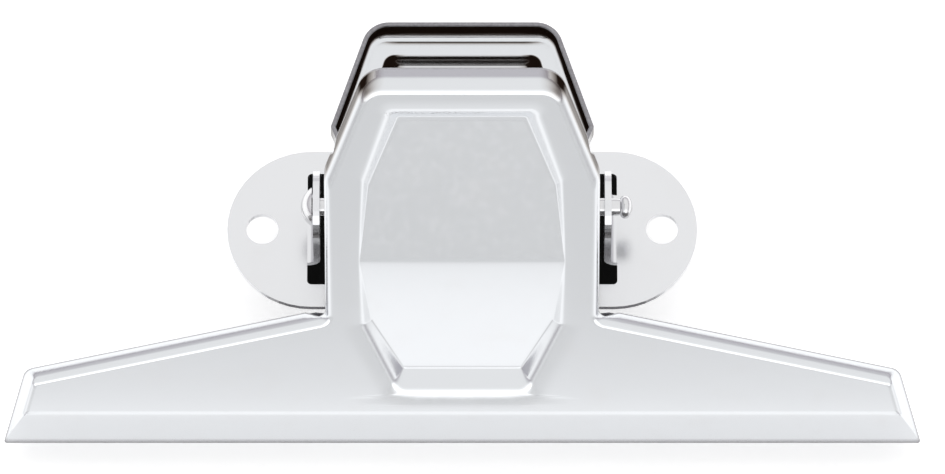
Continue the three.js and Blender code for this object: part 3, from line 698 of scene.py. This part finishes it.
# Where the painted shade, the dark line and the wear lie, each with the length over which it fades
CAVITY_TOP, CAVITY_FADE = 44 * MM, 6 * MM
DARK_END, DARK_END_FADE = 8.2 * MM, 1.2 * MM
CREASE_FADE, NECK_FADE = 8 * MM, 1.5 * MM
CORNER_DROP, CORNER_FADE = 0.6 * MM, 0.6 * MM
LINE_DROP, LINE_FADE = 0.05 * MM, 0.32 * MM
LINE_HALF, LINE_END_FADE = 11.5 * MM, 2.5 * MM
WEAR_DROP, WEAR_FADE = 1.0 * MM, 0.35 * MM
WEAR_MIDDLE, WEAR_HALF = -4 * MM, 6.5 * MM


def band(s, place, fade):
    """A bell curve across a line at a height: exp(-((s - place) / fade) ** 2)."""
    return np.exp(-(((s - place) / fade) ** 2))


def outer_painted_shade(outline, ring):
    """Painted shade on the outer bend and flange, whose upper ring is given: darker reflections
    along the handle's sides, with none on its top and none below the neck, and a dark streak round
    each of its corners."""
    along_side = np.abs(unit(np.roll(ring, -1, 0)[:, :2] - np.roll(ring, 1, 0)[:, :2])[:, 1])
    below = np.clip((ring[:, 1] - outline.points[1, 1]) / NECK_FADE + 1, 0, 1)
    sides = SIDE_SHADE * along_side**2 * below
    fold = outline.points[0, 1] - outline.bend[-1]
    corner = CORNER_SHADE * along_side * band(ring[:, 1], fold - CORNER_DROP, CORNER_FADE)
    way = np.linspace(-2, 1, BEND_STEPS + 1)[:, None]
    bend = sides * np.clip(way, 0, 1) + corner * np.clip(way + 1.6, 0, 1)
    flange = (sides + corner) * (1 + EDGE_GAIN * FLANGE_SHARES[:, None] ** 3)
    return np.minimum(bend, 1), np.minimum(flange, 1)


def inner_painted_shade(outline, panel, outer_ring, inner):
    """Painted shade on the inner flange, bend and face. The flange is shaded most above the crease,
    and the bend fades into the face. A dark line lies on the face, just below the handle's top."""
    face = cavity_painted_shade(panel, inner)
    height = np.clip((outer_ring[:, 1] - panel.crease) / CREASE_FADE, 0, 1)
    flange = WING_SHADE + (FOLD_SHADE - WING_SHADE) * height
    way = np.clip((np.linspace(1, 0, BEND_STEPS + 1) - 0.3) / 0.35, 0, 1)
    fade = smooth_ramp(way, 0.3, 0.3)[:, None]
    bend = np.maximum(fade * flange, face[0] * (1 - fade))
    line = band(inner[..., 1], outline.points[0, 1] - outline.bend[-1] - LINE_DROP, LINE_FADE)
    ends = np.clip((LINE_HALF - np.abs(inner[..., 0])) / LINE_END_FADE, 0, 1)
    whole_flange = np.zeros((len(FLANGE_SHARES), 1)) + flange
    return whole_flange, bend, np.maximum(face, LINE_DARKNESS * line * ends)


def cavity_painted_shade(panel, inner):
    """Painted shade inside the jaw: on the panel's floor and walls, most at the upper wall's ends,
    and on the face below the handle."""
    x, s = inner[..., 0], inner[..., 1]
    face_rows = len(EDGE_WAYS) + len(MOUTH_WAYS) - 1
    wall_end = face_rows + len(WALL_SHARES)
    grime = np.clip((CAVITY_TOP - s) / CAVITY_FADE, 0, 1) * PANEL_FLOOR_SHADE
    grime[wall_end:] = PANEL_FLOOR_SHADE
    ends = np.clip((np.abs(x[face_rows:wall_end]) - DARK_END) / DARK_END_FADE, 0, 1)
    ends = ends * np.clip((s[face_rows:wall_end] - panel.shoulder) / CREASE_FADE, 0, 1)
    grime[face_rows:wall_end] = WALL_SHADE + (1 - WALL_SHADE) * ends
    return grime


def worn_edge(panel, outer):
    """Wear along the left half of the panel's upper edge, where thumbs press."""
    reach = np.abs(outer[..., 0] - WEAR_MIDDLE) < WEAR_HALF
    return band(outer[..., 1], panel.top - WEAR_DROP, WEAR_FADE) * reach


def cheek_course(neck, seat, radius, foot, pin):
    """Cut edge of a cheek as (way down the neck, height): in along the seat or from the neck's
    corner, on a line that touches the round end, half round the pin, and back out to the foot."""
    def touching(point, side):
        """Bearing from the pin at which the line from a point touches the round end."""
        offset = np.array(point) - pin
        distance = np.linalg.norm(offset)
        return math.atan2(offset[1], offset[0]) + side * math.acos(radius / distance)

    enter = touching(seat[-1] if seat else (neck.s, neck.cut), -1)
    leave = touching(foot, 1)
    bearing = np.linspace(enter, leave - 2 * math.pi if leave > enter else leave, 33)
    end = pin + radius * np.stack([np.cos(bearing), np.sin(bearing)], -1)
    return tuple((neck.s - s, height) for s, height in [*seat, *end.tolist(), foot])


def jaw_corners(clip, rear):
    """The corners of one jaw's outline, with the steps of its panel's edges."""
    jaw, fold = clip.clip_jaw, clip.clip_fold
    pin = np.array([pin_point.y - lip_y, jaw.depth - pin_point.z])
    gap = jaw.sheet + fold.cheek_gap
    half = jaw.neck_width / 2 - (gap if rear else 0)
    end_drop = jaw.rear_end_drop if rear else 0
    end_height = jaw.wing_end - end_drop
    end_x = jaw.wing_slant * end_height / jaw.wing_end - jaw.width / 2
    wing_s = jaw.wing_top - (jaw.rear_top_drop if rear else 0)
    foot = wing_s + jaw.neck_corner
    cut = -fold.neck_drop / (2 if rear else 1)
    top = Corner(-jaw.handle_width / 2, jaw.length, jaw.handle_corner, 0,
                 fold.handle_side, RIGHT_ANGLE, HANDLE_STEPS)
    if rear:
        step_s = jaw.length - jaw.rear_handle
        step = Corner(-half - jaw.rear_step_width, step_s, jaw.lip_corner, cut,
                      fold.neck, RIGHT_ANGLE, STEP_STEPS)
        neck = Corner(-half, step_s - jaw.rear_step, jaw.lip_corner, cut,
                      fold.neck, RIGHT_ANGLE, NECK_STEPS)
        seat = [(fold.seat_outer, -fold.seat_height), (fold.seat_inner, -fold.seat_height)]
        course = cheek_course(neck, seat, fold.rear_cheek, (foot, -fold.neck_drop), pin)
        upper = [top, step, neck._replace(course=course)]
        side_steps = HANDLE_STEPS + ARC_STEPS + 1 + STEP_STEPS
    else:
        shoulder_cut = -fold.shoulder_drop
        neck = Corner(-half, jaw.length - jaw.handle_length, jaw.shoulder, shoulder_cut,
                      fold.neck, RIGHT_ANGLE, NECK_STEPS)
        side = edge_length(top, neck)
        notch = side - fold.notch_place
        above = notch - fold.notch_width / 2
        handle_cut = -fold.handle_drop
        top = top._replace(cut=handle_cut, course=(
            (above, handle_cut), (notch, fold.notch_height),
            (notch + fold.notch_width / 2, shoulder_cut),
        ))
        course = cheek_course(neck, [], fold.front_cheek, (foot, cut), pin)
        upper = [top, neck._replace(course=course)]
        side_steps = HANDLE_STEPS
    wings = [
        Corner(-half, wing_s, jaw.neck_corner, fold.relief_height, fold.wing, RIGHT_ANGLE,
               WING_STEPS, fold.curl, ((jaw.neck_corner + fold.relief_width, 0),)),
        Corner(end_x, end_height, jaw.wing_corner, 0, fold.end, fold.end_slope, END_STEPS),
        Corner(-jaw.width / 2, 0, jaw.lip_corner, 0, fold.lip, fold.lip_slope, LIP_STEPS),
    ]
    left = upper + wings
    arc = ARC_STEPS + 1
    half_count = sum(c.steps for c in left) + arc * len(left) + TOP_STEPS // 2 - LIP_STEPS // 2
    quarter = half_count // 2 - 2 * arc - ARC_STEPS // 2
    half_steps = [side_steps, quarter - side_steps - TOP_STEPS // 2, CREASE_STEPS, HIP_STEPS]
    bottom = 2 * (quarter - CREASE_STEPS - HIP_STEPS)
    panel_steps = [*half_steps, bottom, *half_steps[::-1], TOP_STEPS]
    return mirrored(left, fold.handle_top), panel_steps


def jaw_mesh(name, clip, rear):
    """A jaw as a mesh in the model's frame. The rear jaw is turned face down, and the front one is
    turned up about the line of the lips by the open angle."""
    jaw, fold = clip.clip_jaw, clip.clip_fold
    corners, panel_steps = jaw_corners(clip, rear)
    outline = Outline(corners, jaw.sheet, jaw.depth)
    surface, marks = jaw_surface(outline, clip.clip_panel, fold.edge_round, panel_steps)
    x, s, h = np.moveaxis(surface, -1, 0)
    if rear:
        placed = np.stack([-x, s + lip_y, jaw.depth - h], -1)
    else:
        offset = jaw.lip_gap / 2
        cosine, sine = math.cos(jaw.open_angle), math.sin(jaw.open_angle)
        placed = np.stack([
            x,
            s * cosine - h * sine - offset * sine + lip_y,
            s * sine + h * cosine + jaw.depth + offset * (1 + cosine),
        ], -1)
    return drilled(closed_mesh(name, placed, marks), pin_point, fold.hole, jaw.neck_width)


# Pin and spring, both first round the X axis through the pin's middle

DOME_STEPS, SHANK_STEPS, PIN_SIDES = 20, 12, 72
COIL_STEPS, LEG_STEPS, FOOT_STEPS, WIRE_SIDES, CAP_STEPS = 260, 14, 8, 20, 6
RIM_ROUND, HEAD_GAP, WIRE_END_ROUND = 0.12 * MM, 0.02 * MM, 0.25 * MM
MAP_LENGTH = 20 * MM  # the way along the wire over which the map's v grows by one


def pin_profile(pin, seat_left, seat_right):
    """The pin's profile from its domed head to its peened end, each point (radius, place along X).

    The dome is an arc whose radius follows from its width and height, with a small round rim. The
    peened end is half an ellipse that starts where its width is down to the shank's."""
    radius = pin.diameter / 2
    dome_radius = (pin.dome**2 / 4 + pin.dome_height**2) / (2 * pin.dome_height)
    rim = math.asin(pin.dome / 2 / dome_radius)
    dome = np.linspace(0, rim, DOME_STEPS)
    centre = seat_left - pin.dome_height + dome_radius
    head = np.stack([dome_radius * np.sin(dome), centre - dome_radius * np.cos(dome)], -1)
    face = seat_left + HEAD_GAP
    under = np.array([
        (pin.dome / 2 - RIM_ROUND, face), (radius + 0.1 * MM, face),
        (radius, seat_left + RIM_ROUND),
    ])
    places = np.linspace(seat_left + 0.3 * MM, seat_right, SHANK_STEPS)
    shank = np.stack([np.full(SHANK_STEPS, radius), places], -1)
    swell = np.linspace(pin.peened_angle, 0, DOME_STEPS)
    middle = seat_right + pin.neck + pin.peened_length / 2
    peened = np.stack([
        pin.peened / 2 * np.sin(swell), middle + pin.peened_length / 2 * np.cos(swell)
    ], -1)
    neck = np.array([(radius, seat_right + pin.neck * 0.6)])
    return np.concatenate([head, under, shank, neck, peened])


def spring_path(spring, jaw, panel):
    """Middle line of the spring's wire in the pin's frame, as points (n, 3).

    A helix winds at an even rate about the pin. At its left end it runs off in a straight leg,
    which bends into a foot that lies along the upper facet of the rear jaw's panel. The right
    half is the left one turned over about the line halfway between the jaws."""
    middle = jaw.open_angle / 2
    sweep = math.pi * spring.turns - spring.leg_angle - RIGHT_ANGLE - middle
    part = np.linspace(0, 1, COIL_STEPS)
    coil = round_x(-spring.half_length * part, spring.radius, middle + sweep * part)
    x, y, z = coil[-1]
    step = np.array([0, math.cos(spring.leg_angle), -math.sin(spring.leg_angle)])
    rate = (panel.top_depth - panel.crease_depth) / (panel.top - panel.crease)
    tilt = math.atan(rate)
    clear = jaw.sheet + panel.crease_depth + spring.foot_gap + spring.wire / 2
    foot = clear + rate * (pin_point.y - lip_y + y - panel.crease) - pin_point.z
    reach = (foot - z) / (step[2] - rate * step[1])
    turn = tilt + spring.leg_angle
    straight = reach - spring.foot_bend * math.tan(turn / 2)
    leg = coil[-1] + step * (straight * np.linspace(0, 1, LEG_STEPS)[1:-1, None])
    centre = coil[-1] + step * straight + spring.foot_bend * np.array([0, -step[2], step[1]])
    bearing = np.linspace(-spring.leg_angle, tilt, LEG_STEPS)
    bend = centre + spring.foot_bend * np.stack(
        [np.zeros(LEG_STEPS), np.sin(bearing), -np.cos(bearing)], -1
    )
    ahead = np.array([0, math.cos(tilt), math.sin(tilt)])
    end = bend[-1] + ahead * (spring.foot_length * np.linspace(0, 1, FOOT_STEPS)[1:, None])
    half = np.concatenate([coil, leg, bend, end])
    x, y, z = half[1:].T
    other = round_x(-x, np.hypot(y, z), 2 * middle - np.arctan2(z, y))
    return np.concatenate([other[::-1], half])


def tube(path, radius):
    """A round wire along a path: rings square to it, closed by rounded ends.

    A ring's first spoke is the pin's axis made square to the path; the second is their cross
    product. Towards each end the rings shrink along a quarter circle."""
    ahead = unit(np.gradient(path, axis=0))
    across = np.cross(ahead, [1.0, 0, 0])
    square = np.linalg.norm(across, axis=1, keepdims=True) > 0.1
    across = unit(np.where(square, across, [0, 0, 1.0]))
    second = np.cross(ahead, across)
    last = len(path) - 1
    quarter = np.linspace(0, RIGHT_ANGLE, CAP_STEPS)
    out = WIRE_END_ROUND * np.sin(quarter)
    thin = radius - WIRE_END_ROUND * (1 - np.cos(quarter))
    row = np.concatenate([np.zeros(CAP_STEPS, int), np.arange(1, last), np.full(CAP_STEPS, last)])
    shift = np.concatenate([-out[::-1], np.zeros(last - 1), out])
    radii = np.concatenate([thin[::-1], np.full(last - 1, radius), thin])
    centres = path[row] + ahead[row] * shift[:, None]
    around = whole_turn(WIRE_SIDES)[None, :, None]
    spokes = across[row, None] * np.cos(around) + second[row, None] * np.sin(around)
    rings = centres[:, None] + spokes * radii[:, None, None]
    caps = [np.repeat(centres[[i], None], WIRE_SIDES, 1) for i in (0, -1)]
    return np.concatenate([caps[0], rings, caps[1]])


def wire_map(rings):
    """Places on the wire for its pattern: u is the sine of half the way round it, so that it
    meets itself, and v the way along it."""
    steps = np.linalg.norm(np.diff(rings.mean(1), axis=0), axis=1)
    way = np.concatenate([[0], np.cumsum(steps)]) / MAP_LENGTH
    around = np.sin(math.pi * np.arange(WIRE_SIDES) / WIRE_SIDES)
    flat = np.ones(rings.shape[:2])
    return {"wire_u": flat * around, "wire_v": flat * way[:, None]}


# Materials

GRAIN_HEIGHT, SPECK_DEPTH, GROOVE_DEPTH = 0.0016 * MM, 0.01 * MM, 0.012 * MM


class Wire:
    """A socket of a node tree. Arithmetic on it adds the Math nodes that work it out."""

    def __init__(self, tree, socket):
        self.tree, self.socket = tree, socket

    def math(self, operation, *values):
        found = self.tree.node("ShaderNodeMath", {"operation": operation}, dict(enumerate(values)))
        return found[0]

    def __add__(self, other):
        return self.math("ADD", self, other)

    def __mul__(self, other):
        return self.math("MULTIPLY", self, other)

    def __sub__(self, other):
        return self.math("SUBTRACT", self, other)

    def __rsub__(self, other):
        return self.math("SUBTRACT", other, self)

    __radd__ = __add__
    __rmul__ = __mul__

    def ramp(self, low, high, start=0, end=1, kind="LINEAR"):
        """The value mapped from low..high to start..end, and held there."""
        sockets = {0: self, 1: low, 2: high, 3: start, 4: end}
        return self.tree.node("ShaderNodeMapRange", {"interpolation_type": kind}, sockets)[0]

    def clamped(self, low, high, start=0, end=1):
        """The same with a smooth start and end. A range given from high to low runs backwards."""
        if low > high:
            low, high, start, end = high, low, end, start
        return self.ramp(low, high, start, end, "SMOOTHSTEP")


class Outputs:
    """The outputs of one node as wires, by name or number."""

    def __init__(self, tree, node):
        self.tree, self.node = tree, node

    def __getitem__(self, key):
        return Wire(self.tree, self.node.outputs[key])


class Tree:
    """Adds nodes to a material's or the world's node tree."""

    def __init__(self, owner):
        self.owner = owner
        owner.use_nodes = True
        self.nodes, self.links = owner.node_tree.nodes, owner.node_tree.links
        self.nodes.clear()

    def node(self, kind, settings=None, sockets=None):
        """A node of one type, with its settings set first and then its sockets set or linked."""
        made = self.nodes.new(kind)
        for key, value in (settings or {}).items():
            if key == "stops":
                self.set_stops(made.color_ramp, value)
            else:
                setattr(made, key, value)
        for key, value in (sockets or {}).items():
            if isinstance(value, Wire):
                self.links.new(value.socket, made.inputs[key])
            else:
                made.inputs[key].default_value = value
        return Outputs(self, made)

    @staticmethod
    def set_stops(ramp, stops):
        while len(ramp.elements) < len(stops):
            ramp.elements.new(1)
        for element, (place, value) in zip(ramp.elements, stops):
            element.position = place
            element.color = (*value, 1)

    def noise(self, place, scale, detail, roughness=0.5):
        sockets = {"Vector": place, "Scale": scale, "Detail": detail, "Roughness": roughness}
        return self.node("ShaderNodeTexNoise", None, sockets)["Fac"]

    def mix(self, factor, first, second):
        """A colour between two, each given as a wire or as three numbers."""
        ends = [end if isinstance(end, Wire) else (*end, 1) for end in (first, second)]
        settings = {"data_type": "RGBA", "blend_type": "MIX"}
        return self.node("ShaderNodeMix", settings, {0: factor, 6: ends[0], 7: ends[1]})[2]

    def stretched(self, place, scale):
        return self.node("ShaderNodeMapping", None, {"Vector": place, "Scale": scale})[0]

    def attribute(self, key):
        return self.node("ShaderNodeAttribute", {"attribute_name": key})["Fac"]

    def metal(self, shade, rough, height):
        """Bare metal whose surface is raised by a height in metres."""
        normal = self.node("ShaderNodeBump", None, {"Height": height, "Distance": 1.0})["Normal"]
        return self.node("ShaderNodeBsdfPrincipled", None, {
            "Base Color": shade, "Metallic": 1.0, "Roughness": rough, "Normal": normal,
        })[0]

    def finish(self, surface):
        self.node("ShaderNodeOutputMaterial", None, {"Surface": surface})
        return self.owner


def plated(name, finishes, kind, marks=False):
    """Nickel-plated steel: a mirror with long low waves from the press, a fine grain and thin
    stains. A mesh with marks gets brown-grey cut edges, worn specks, and painted shade in its folds
    and hollows and over darker reflections, where they say so."""
    tree = Tree(bpy.data.materials.new(name))
    keys = ("colour", "gloss", "waves")
    base, gloss, waves = (getattr(finishes, f"{kind}_{key}") for key in keys)
    place = tree.node("ShaderNodeTexCoord")["Object"]
    waviness = tree.noise(place, 95.0, 1.0)
    grain = tree.noise(place, 2600.0, 3.0, 0.6)
    cloud = tree.noise(place, 160.0, 4.0, 0.6)
    rub = tree.noise(tree.stretched(place, (900, 120, 900)), 1.0, 3.0, 0.55)
    shade = tree.mix(cloud.clamped(0.5, 0.8) * 0.07, base, finishes.stain_colour)
    rough = gloss + cloud.clamped(0.4, 0.75) * 0.015 + rub.clamped(0.45, 0.7) * 0.02
    height = waviness * waves + grain * GRAIN_HEIGHT
    if marks:
        cut, grime, worn = (tree.attribute(key) for key in ("cut_edge", "grime", "worn"))
        specks = worn * tree.noise(place, 4200.0, 2.0, 0.6).clamped(0.5, 0.62)
        # Painted shade: where the painted shade mark lies, the plating takes the shade tint
        shade = tree.mix(grime, shade, finishes.shade_tint_colour)
        shade = tree.mix(cut * (0.6 + grain * 0.5), shade, finishes.edge_colour)
        shade = tree.mix(specks * 0.55, shade, finishes.speck_colour)
        rough = rough + cut * 0.22 + specks * 0.3
        height = height - specks * SPECK_DEPTH
    surface = tree.metal(shade, rough, height)
    # Painted shade: a near-black matte coat over the metal where the painted shade mark lies
    if marks:
        coat = {"Color": (*finishes.painted_shade_colour, 1)}
        dull = tree.node("ShaderNodeBsdfDiffuse", None, coat)[0]
        cover = grime * (0.97 + cloud * 0.1)
        surface = tree.node("ShaderNodeMixShader", None, {0: cover, 1: surface, 2: dull})[0]
    return tree.finish(surface)


def drawn_wire(name, finishes):
    """Spring steel drawn through a die: fine grooves along the wire, and oiled dark bands."""
    tree = Tree(bpy.data.materials.new(name))
    ways = {"X": tree.attribute("wire_u"), "Y": tree.attribute("wire_v")}
    along_wire = tree.node("ShaderNodeCombineXYZ", None, ways)[0]
    place = tree.node("ShaderNodeTexCoord")["Object"]
    grooves = tree.noise(tree.stretched(along_wire, (60, 1.5, 1)), 1.0, 4.0, 0.7)
    cloud = tree.noise(place, 300.0, 3.0, 0.6)
    shade = tree.mix(cloud.clamped(0.35, 0.7) * 0.5, finishes.spring_colour, finishes.wire_stain)
    rough = finishes.spring_gloss + grooves.clamped(0.3, 0.7) * 0.12
    return tree.finish(tree.metal(shade, rough, grooves * GROOVE_DEPTH))


# Operators


class ClipOperator:
    bl_options = {"REGISTER", "UNDO"}


class CLIP_OT_front_jaw(ClipOperator, bpy.types.Operator):
    """Builds the front jaw, which swings about the pin"""

    bl_idname = "clip.front_jaw"
    bl_label = "Front jaw"

    def execute(self, context):
        build_jaw(context.scene, False)
        return {"FINISHED"}


class CLIP_OT_rear_jaw(ClipOperator, bpy.types.Operator):
    """Builds the rear jaw, which carries the pin and the mounting plate"""

    bl_idname = "clip.rear_jaw"
    bl_label = "Rear jaw"

    def execute(self, context):
        build_jaw(context.scene, True)
        return {"FINISHED"}


def build_jaw(scene, rear):
    side, body = ("rear", "back") if rear else ("front", "front")
    mesh = jaw_mesh(f"{side}_jaw_plated", scene, rear)
    material = plated(f"{side}_jaw_plating", scene.clip_finishes, "jaw", marks=True)
    finish_piece(mesh, body, f"{side}_jaw", material)


class CLIP_OT_mounting_plate(ClipOperator, bpy.types.Operator):
    """Gives the mounting plate its plating"""

    bl_idname = "clip.mounting_plate"
    bl_label = "Mounting plate"

    def execute(self, context):
        materials = frame["nodes"]["mounting_plate"].data.materials
        materials.clear()
        materials.append(plated("plate_plating", context.scene.clip_finishes, "plate"))
        return {"FINISHED"}


class CLIP_OT_pivot_pin(ClipOperator, bpy.types.Operator):
    """Builds the pin with its domed head and its peened end"""

    bl_idname = "clip.pivot_pin"
    bl_label = "Pivot pin"

    def execute(self, context):
        scene = context.scene
        pin, finishes = scene.clip_pin, scene.clip_finishes
        seat_left = pin_low.x + pin.dome_height
        seat_right = pin_high.x - pin.neck - pin.peened_length
        profile = pin_profile(pin, seat_left, seat_right)
        rings = round_x(profile[:, 1:], profile[:, :1], whole_turn(PIN_SIDES)) + PIN_MIDDLE
        material = plated("pin_plating", finishes, "pin")
        mesh = closed_mesh("pivot_pin_turned", rings)
        finish_piece(mesh, "back", "pivot_pin", material)
        return {"FINISHED"}


class CLIP_OT_torsion_spring(ClipOperator, bpy.types.Operator):
    """Winds the torsion spring about the pin, with a leg to each jaw"""

    bl_idname = "clip.torsion_spring"
    bl_label = "Torsion spring"

    def execute(self, context):
        scene = context.scene
        spring = scene.clip_spring
        path = spring_path(spring, scene.clip_jaw, scene.clip_panel)
        rings = tube(path, spring.wire / 2) + PIN_MIDDLE
        mesh = closed_mesh("torsion_spring_wound", rings, wire_map(rings))
        material = drawn_wire("spring_wire", scene.clip_finishes)
        piece = finish_piece(mesh, None, "torsion_spring", material)
        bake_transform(piece)
        return {"FINISHED"}


class CLIP_OT_studio(ClipOperator, bpy.types.Operator):
    """Sets the pale floor, the soft light and the camera"""

    bl_idname = "clip.studio"
    bl_label = "Studio"

    def execute(self, context):
        studio = context.scene.clip_studio
        build_floor(studio)
        build_light(context.scene, studio)
        build_camera(context.scene, studio)
        return {"FINISHED"}


FLOOR_RINGS, FLOOR_SIDES = 24, 96
# The floor's painted pool of light along Y and across X: where each fade starts and ends, and
# from what to what. It falls off in front, behind and far out, with a painted shadow under the
# plate's windows.
FRONT_FADE, BACK_FADE = (-0.25, -0.05, 0.76, 1), (0.045, 0.3, 1, 0.9)
SIDE_FADE = (0.1, 0.2, 1, 0.95)
SHADOW_SIDE, SHADOW_BACK = (0.0212, 0.0248, 1, 0), (0.0102, 0.0135, 1, 0)
SHADOW_FRONT, SHADOW_DEPTH = (-0.0105, -0.0068, 0, 1), 0.995
# Its glow, which lights the jaws' undersides: a pool in front of the lips, and more behind them
POOL_FRONT, POOL_BACK, POOL_GLOW = (-0.13, -0.095), (-0.058, -0.047, 1, 0), 0.2
LIP_GLOW = (-0.034, -0.026, 0.04, 0.3)


def build_floor(studio):
    """A flat pale floor: a disc whose rings lie at the squares of even shares of its radius,
    painted with a pool of light and with a shadow under the plate's windows.
    """
    low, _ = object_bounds()
    radius = studio.floor_size * np.linspace(0, 1, FLOOR_RINGS)[:, None] ** 2
    around = whole_turn(FLOOR_SIDES)
    level = np.full((FLOOR_RINGS, FLOOR_SIDES), low.z)
    points = np.stack([radius * np.cos(around), radius * np.sin(around), level], -1)
    mesh = bpy.data.meshes.new("floor")
    mesh.from_pydata(points.reshape(-1, 3), [], grid_faces(FLOOR_RINGS, FLOOR_SIDES))
    tree = Tree(bpy.data.materials.new("floor_paper"))
    place = tree.node("ShaderNodeTexCoord")["Object"]
    split = tree.node("ShaderNodeSeparateXYZ", None, {0: place})
    across, along = split["X"].math("ABSOLUTE", split["X"]), split["Y"]
    # Painted shadow under the plate's windows, which shows black through them
    dark = across.clamped(*SHADOW_SIDE) * along.clamped(*SHADOW_BACK) * along.clamped(*SHADOW_FRONT)
    # Painted pool of light: the floor's colour fades out in front, behind and far out
    bright = along.ramp(*FRONT_FADE) * along.clamped(*BACK_FADE) * across.clamped(*SIDE_FADE)
    bright = bright * (1 - dark * SHADOW_DEPTH)
    pool = along.clamped(*POOL_FRONT) * along.clamped(*POOL_BACK)
    glow = bright * (studio.floor_glow + pool * POOL_GLOW + along.clamped(*LIP_GLOW))
    black = (0, 0, 0)
    paper = tree.node("ShaderNodeBsdfPrincipled", None, {
        "Base Color": tree.mix(bright, black, studio.floor_colour),
        "Roughness": 0.9, "Specular IOR Level": 0.0,
        "Emission Color": tree.mix(glow, black, (1, 1, 1)), "Emission Strength": 1.0,
    })[0]
    mesh.materials.append(tree.finish(paper))
    add_object("floor", mesh)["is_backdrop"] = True


# Colour of the sky by its height, from 0 at the horizon to 1 overhead, where 0.5 is white
BACK_SKY = (
    (0, (0.2, 0.185, 0.205)), (0.1, (0.31, 0.3, 0.315)), (0.35, (0.41, 0.41, 0.415)),
    (0.5, (0.48, 0.48, 0.48)), (1, (0.49, 0.49, 0.49)),
)
FRONT_SKY = (
    (0, (0.36, 0.36, 0.36)), (0.06, (0.38, 0.38, 0.38)), (0.1, (0.8, 0.8, 0.8)),
    (0.45, (0.8, 0.8, 0.8)), (0.65, (0.58, 0.58, 0.58)), (0.88, (0.47, 0.47, 0.47)),
)


def build_light(scene, studio):
    """Soft light from a wide sky: a bright low window in front, grey towards the back horizon."""
    world = bpy.data.worlds.new("studio")
    scene.world = world
    tree = Tree(world)
    heading = tree.node("ShaderNodeTexCoord")["Generated"]
    split = tree.node("ShaderNodeSeparateXYZ", None, {0: heading})
    back = tree.node("ShaderNodeValToRGB", {"stops": BACK_SKY}, {0: split["Z"]})[0]
    front = tree.node("ShaderNodeValToRGB", {"stops": FRONT_SKY}, {0: split["Z"]})[0]
    sky = tree.mix(split["Y"].clamped(-0.4, -0.85), back, front)
    sockets = {"Color": sky, "Strength": 2 * studio.sky_light}
    background = tree.node("ShaderNodeBackground", None, sockets)[0]
    tree.node("ShaderNodeOutputWorld", None, {"Surface": background})
    scene.view_settings.view_transform = "Standard"


SENSOR_WIDTH = 36  # in millimetres


def build_camera(scene, studio):
    """The camera looks down on the front jaw from the photograph's angle."""
    down = Vector((0, math.cos(studio.elevation), -math.sin(studio.elevation)))
    up = Vector((0, math.sin(studio.elevation), math.cos(studio.elevation)))
    jaw = scene.clip_jaw
    lip = Vector((studio.aim_side, lip_y, jaw.depth + jaw.lip_gap / 2))
    aim = lip + up * studio.aim_up
    data = bpy.data.cameras.new("camera")
    data.lens = studio.lens
    data.sensor_width = SENSOR_WIDTH
    data.clip_start, data.clip_end = 0.01, 20
    camera = add_object("camera", data)
    camera.location = aim - down * studio.distance
    camera.rotation_euler = down.to_track_quat("-Z", "Y").to_euler()
    scene.camera = camera


class CLIP_PT_sidebar(bpy.types.Panel):
    """Lists the clip's pieces in the order they are made"""

    bl_label = "Bulldog clip"
    bl_idname = "CLIP_PT_sidebar"
    bl_space_type = "VIEW_3D"
    bl_region_type = "UI"
    bl_category = "Clip"

    def draw(self, context):
        for operator in OPERATORS:
            self.layout.operator(operator.bl_idname)


OPERATORS = (
    CLIP_OT_front_jaw, CLIP_OT_rear_jaw, CLIP_OT_mounting_plate, CLIP_OT_pivot_pin,
    CLIP_OT_torsion_spring, CLIP_OT_studio,
)
GROUPS = {
    "clip_jaw": JawSizes, "clip_fold": FoldSizes, "clip_panel": PanelSizes, "clip_pin": PinSizes,
    "clip_spring": SpringSizes, "clip_finishes": Finishes, "clip_studio": Studio,
}


def register():
    for group in (*GROUPS.values(), *OPERATORS, CLIP_PT_sidebar):
        bpy.utils.register_class(group)
    for key, group in GROUPS.items():
        setattr(bpy.types.Scene, key, PointerProperty(type=group))


def unregister():
    for key in GROUPS:
        delattr(bpy.types.Scene, key)
    for group in (CLIP_PT_sidebar, *OPERATORS, *GROUPS.values()):
        bpy.utils.unregister_class(group)


def main():
    """Builds every piece and the studio."""
    register()
    bpy.ops.clip.front_jaw()
    bpy.ops.clip.rear_jaw()
    bpy.ops.clip.mounting_plate()
    bpy.ops.clip.pivot_pin()
    bpy.ops.clip.torsion_spring()
    bpy.ops.clip.studio()


if __name__ == "__main__":
    main()
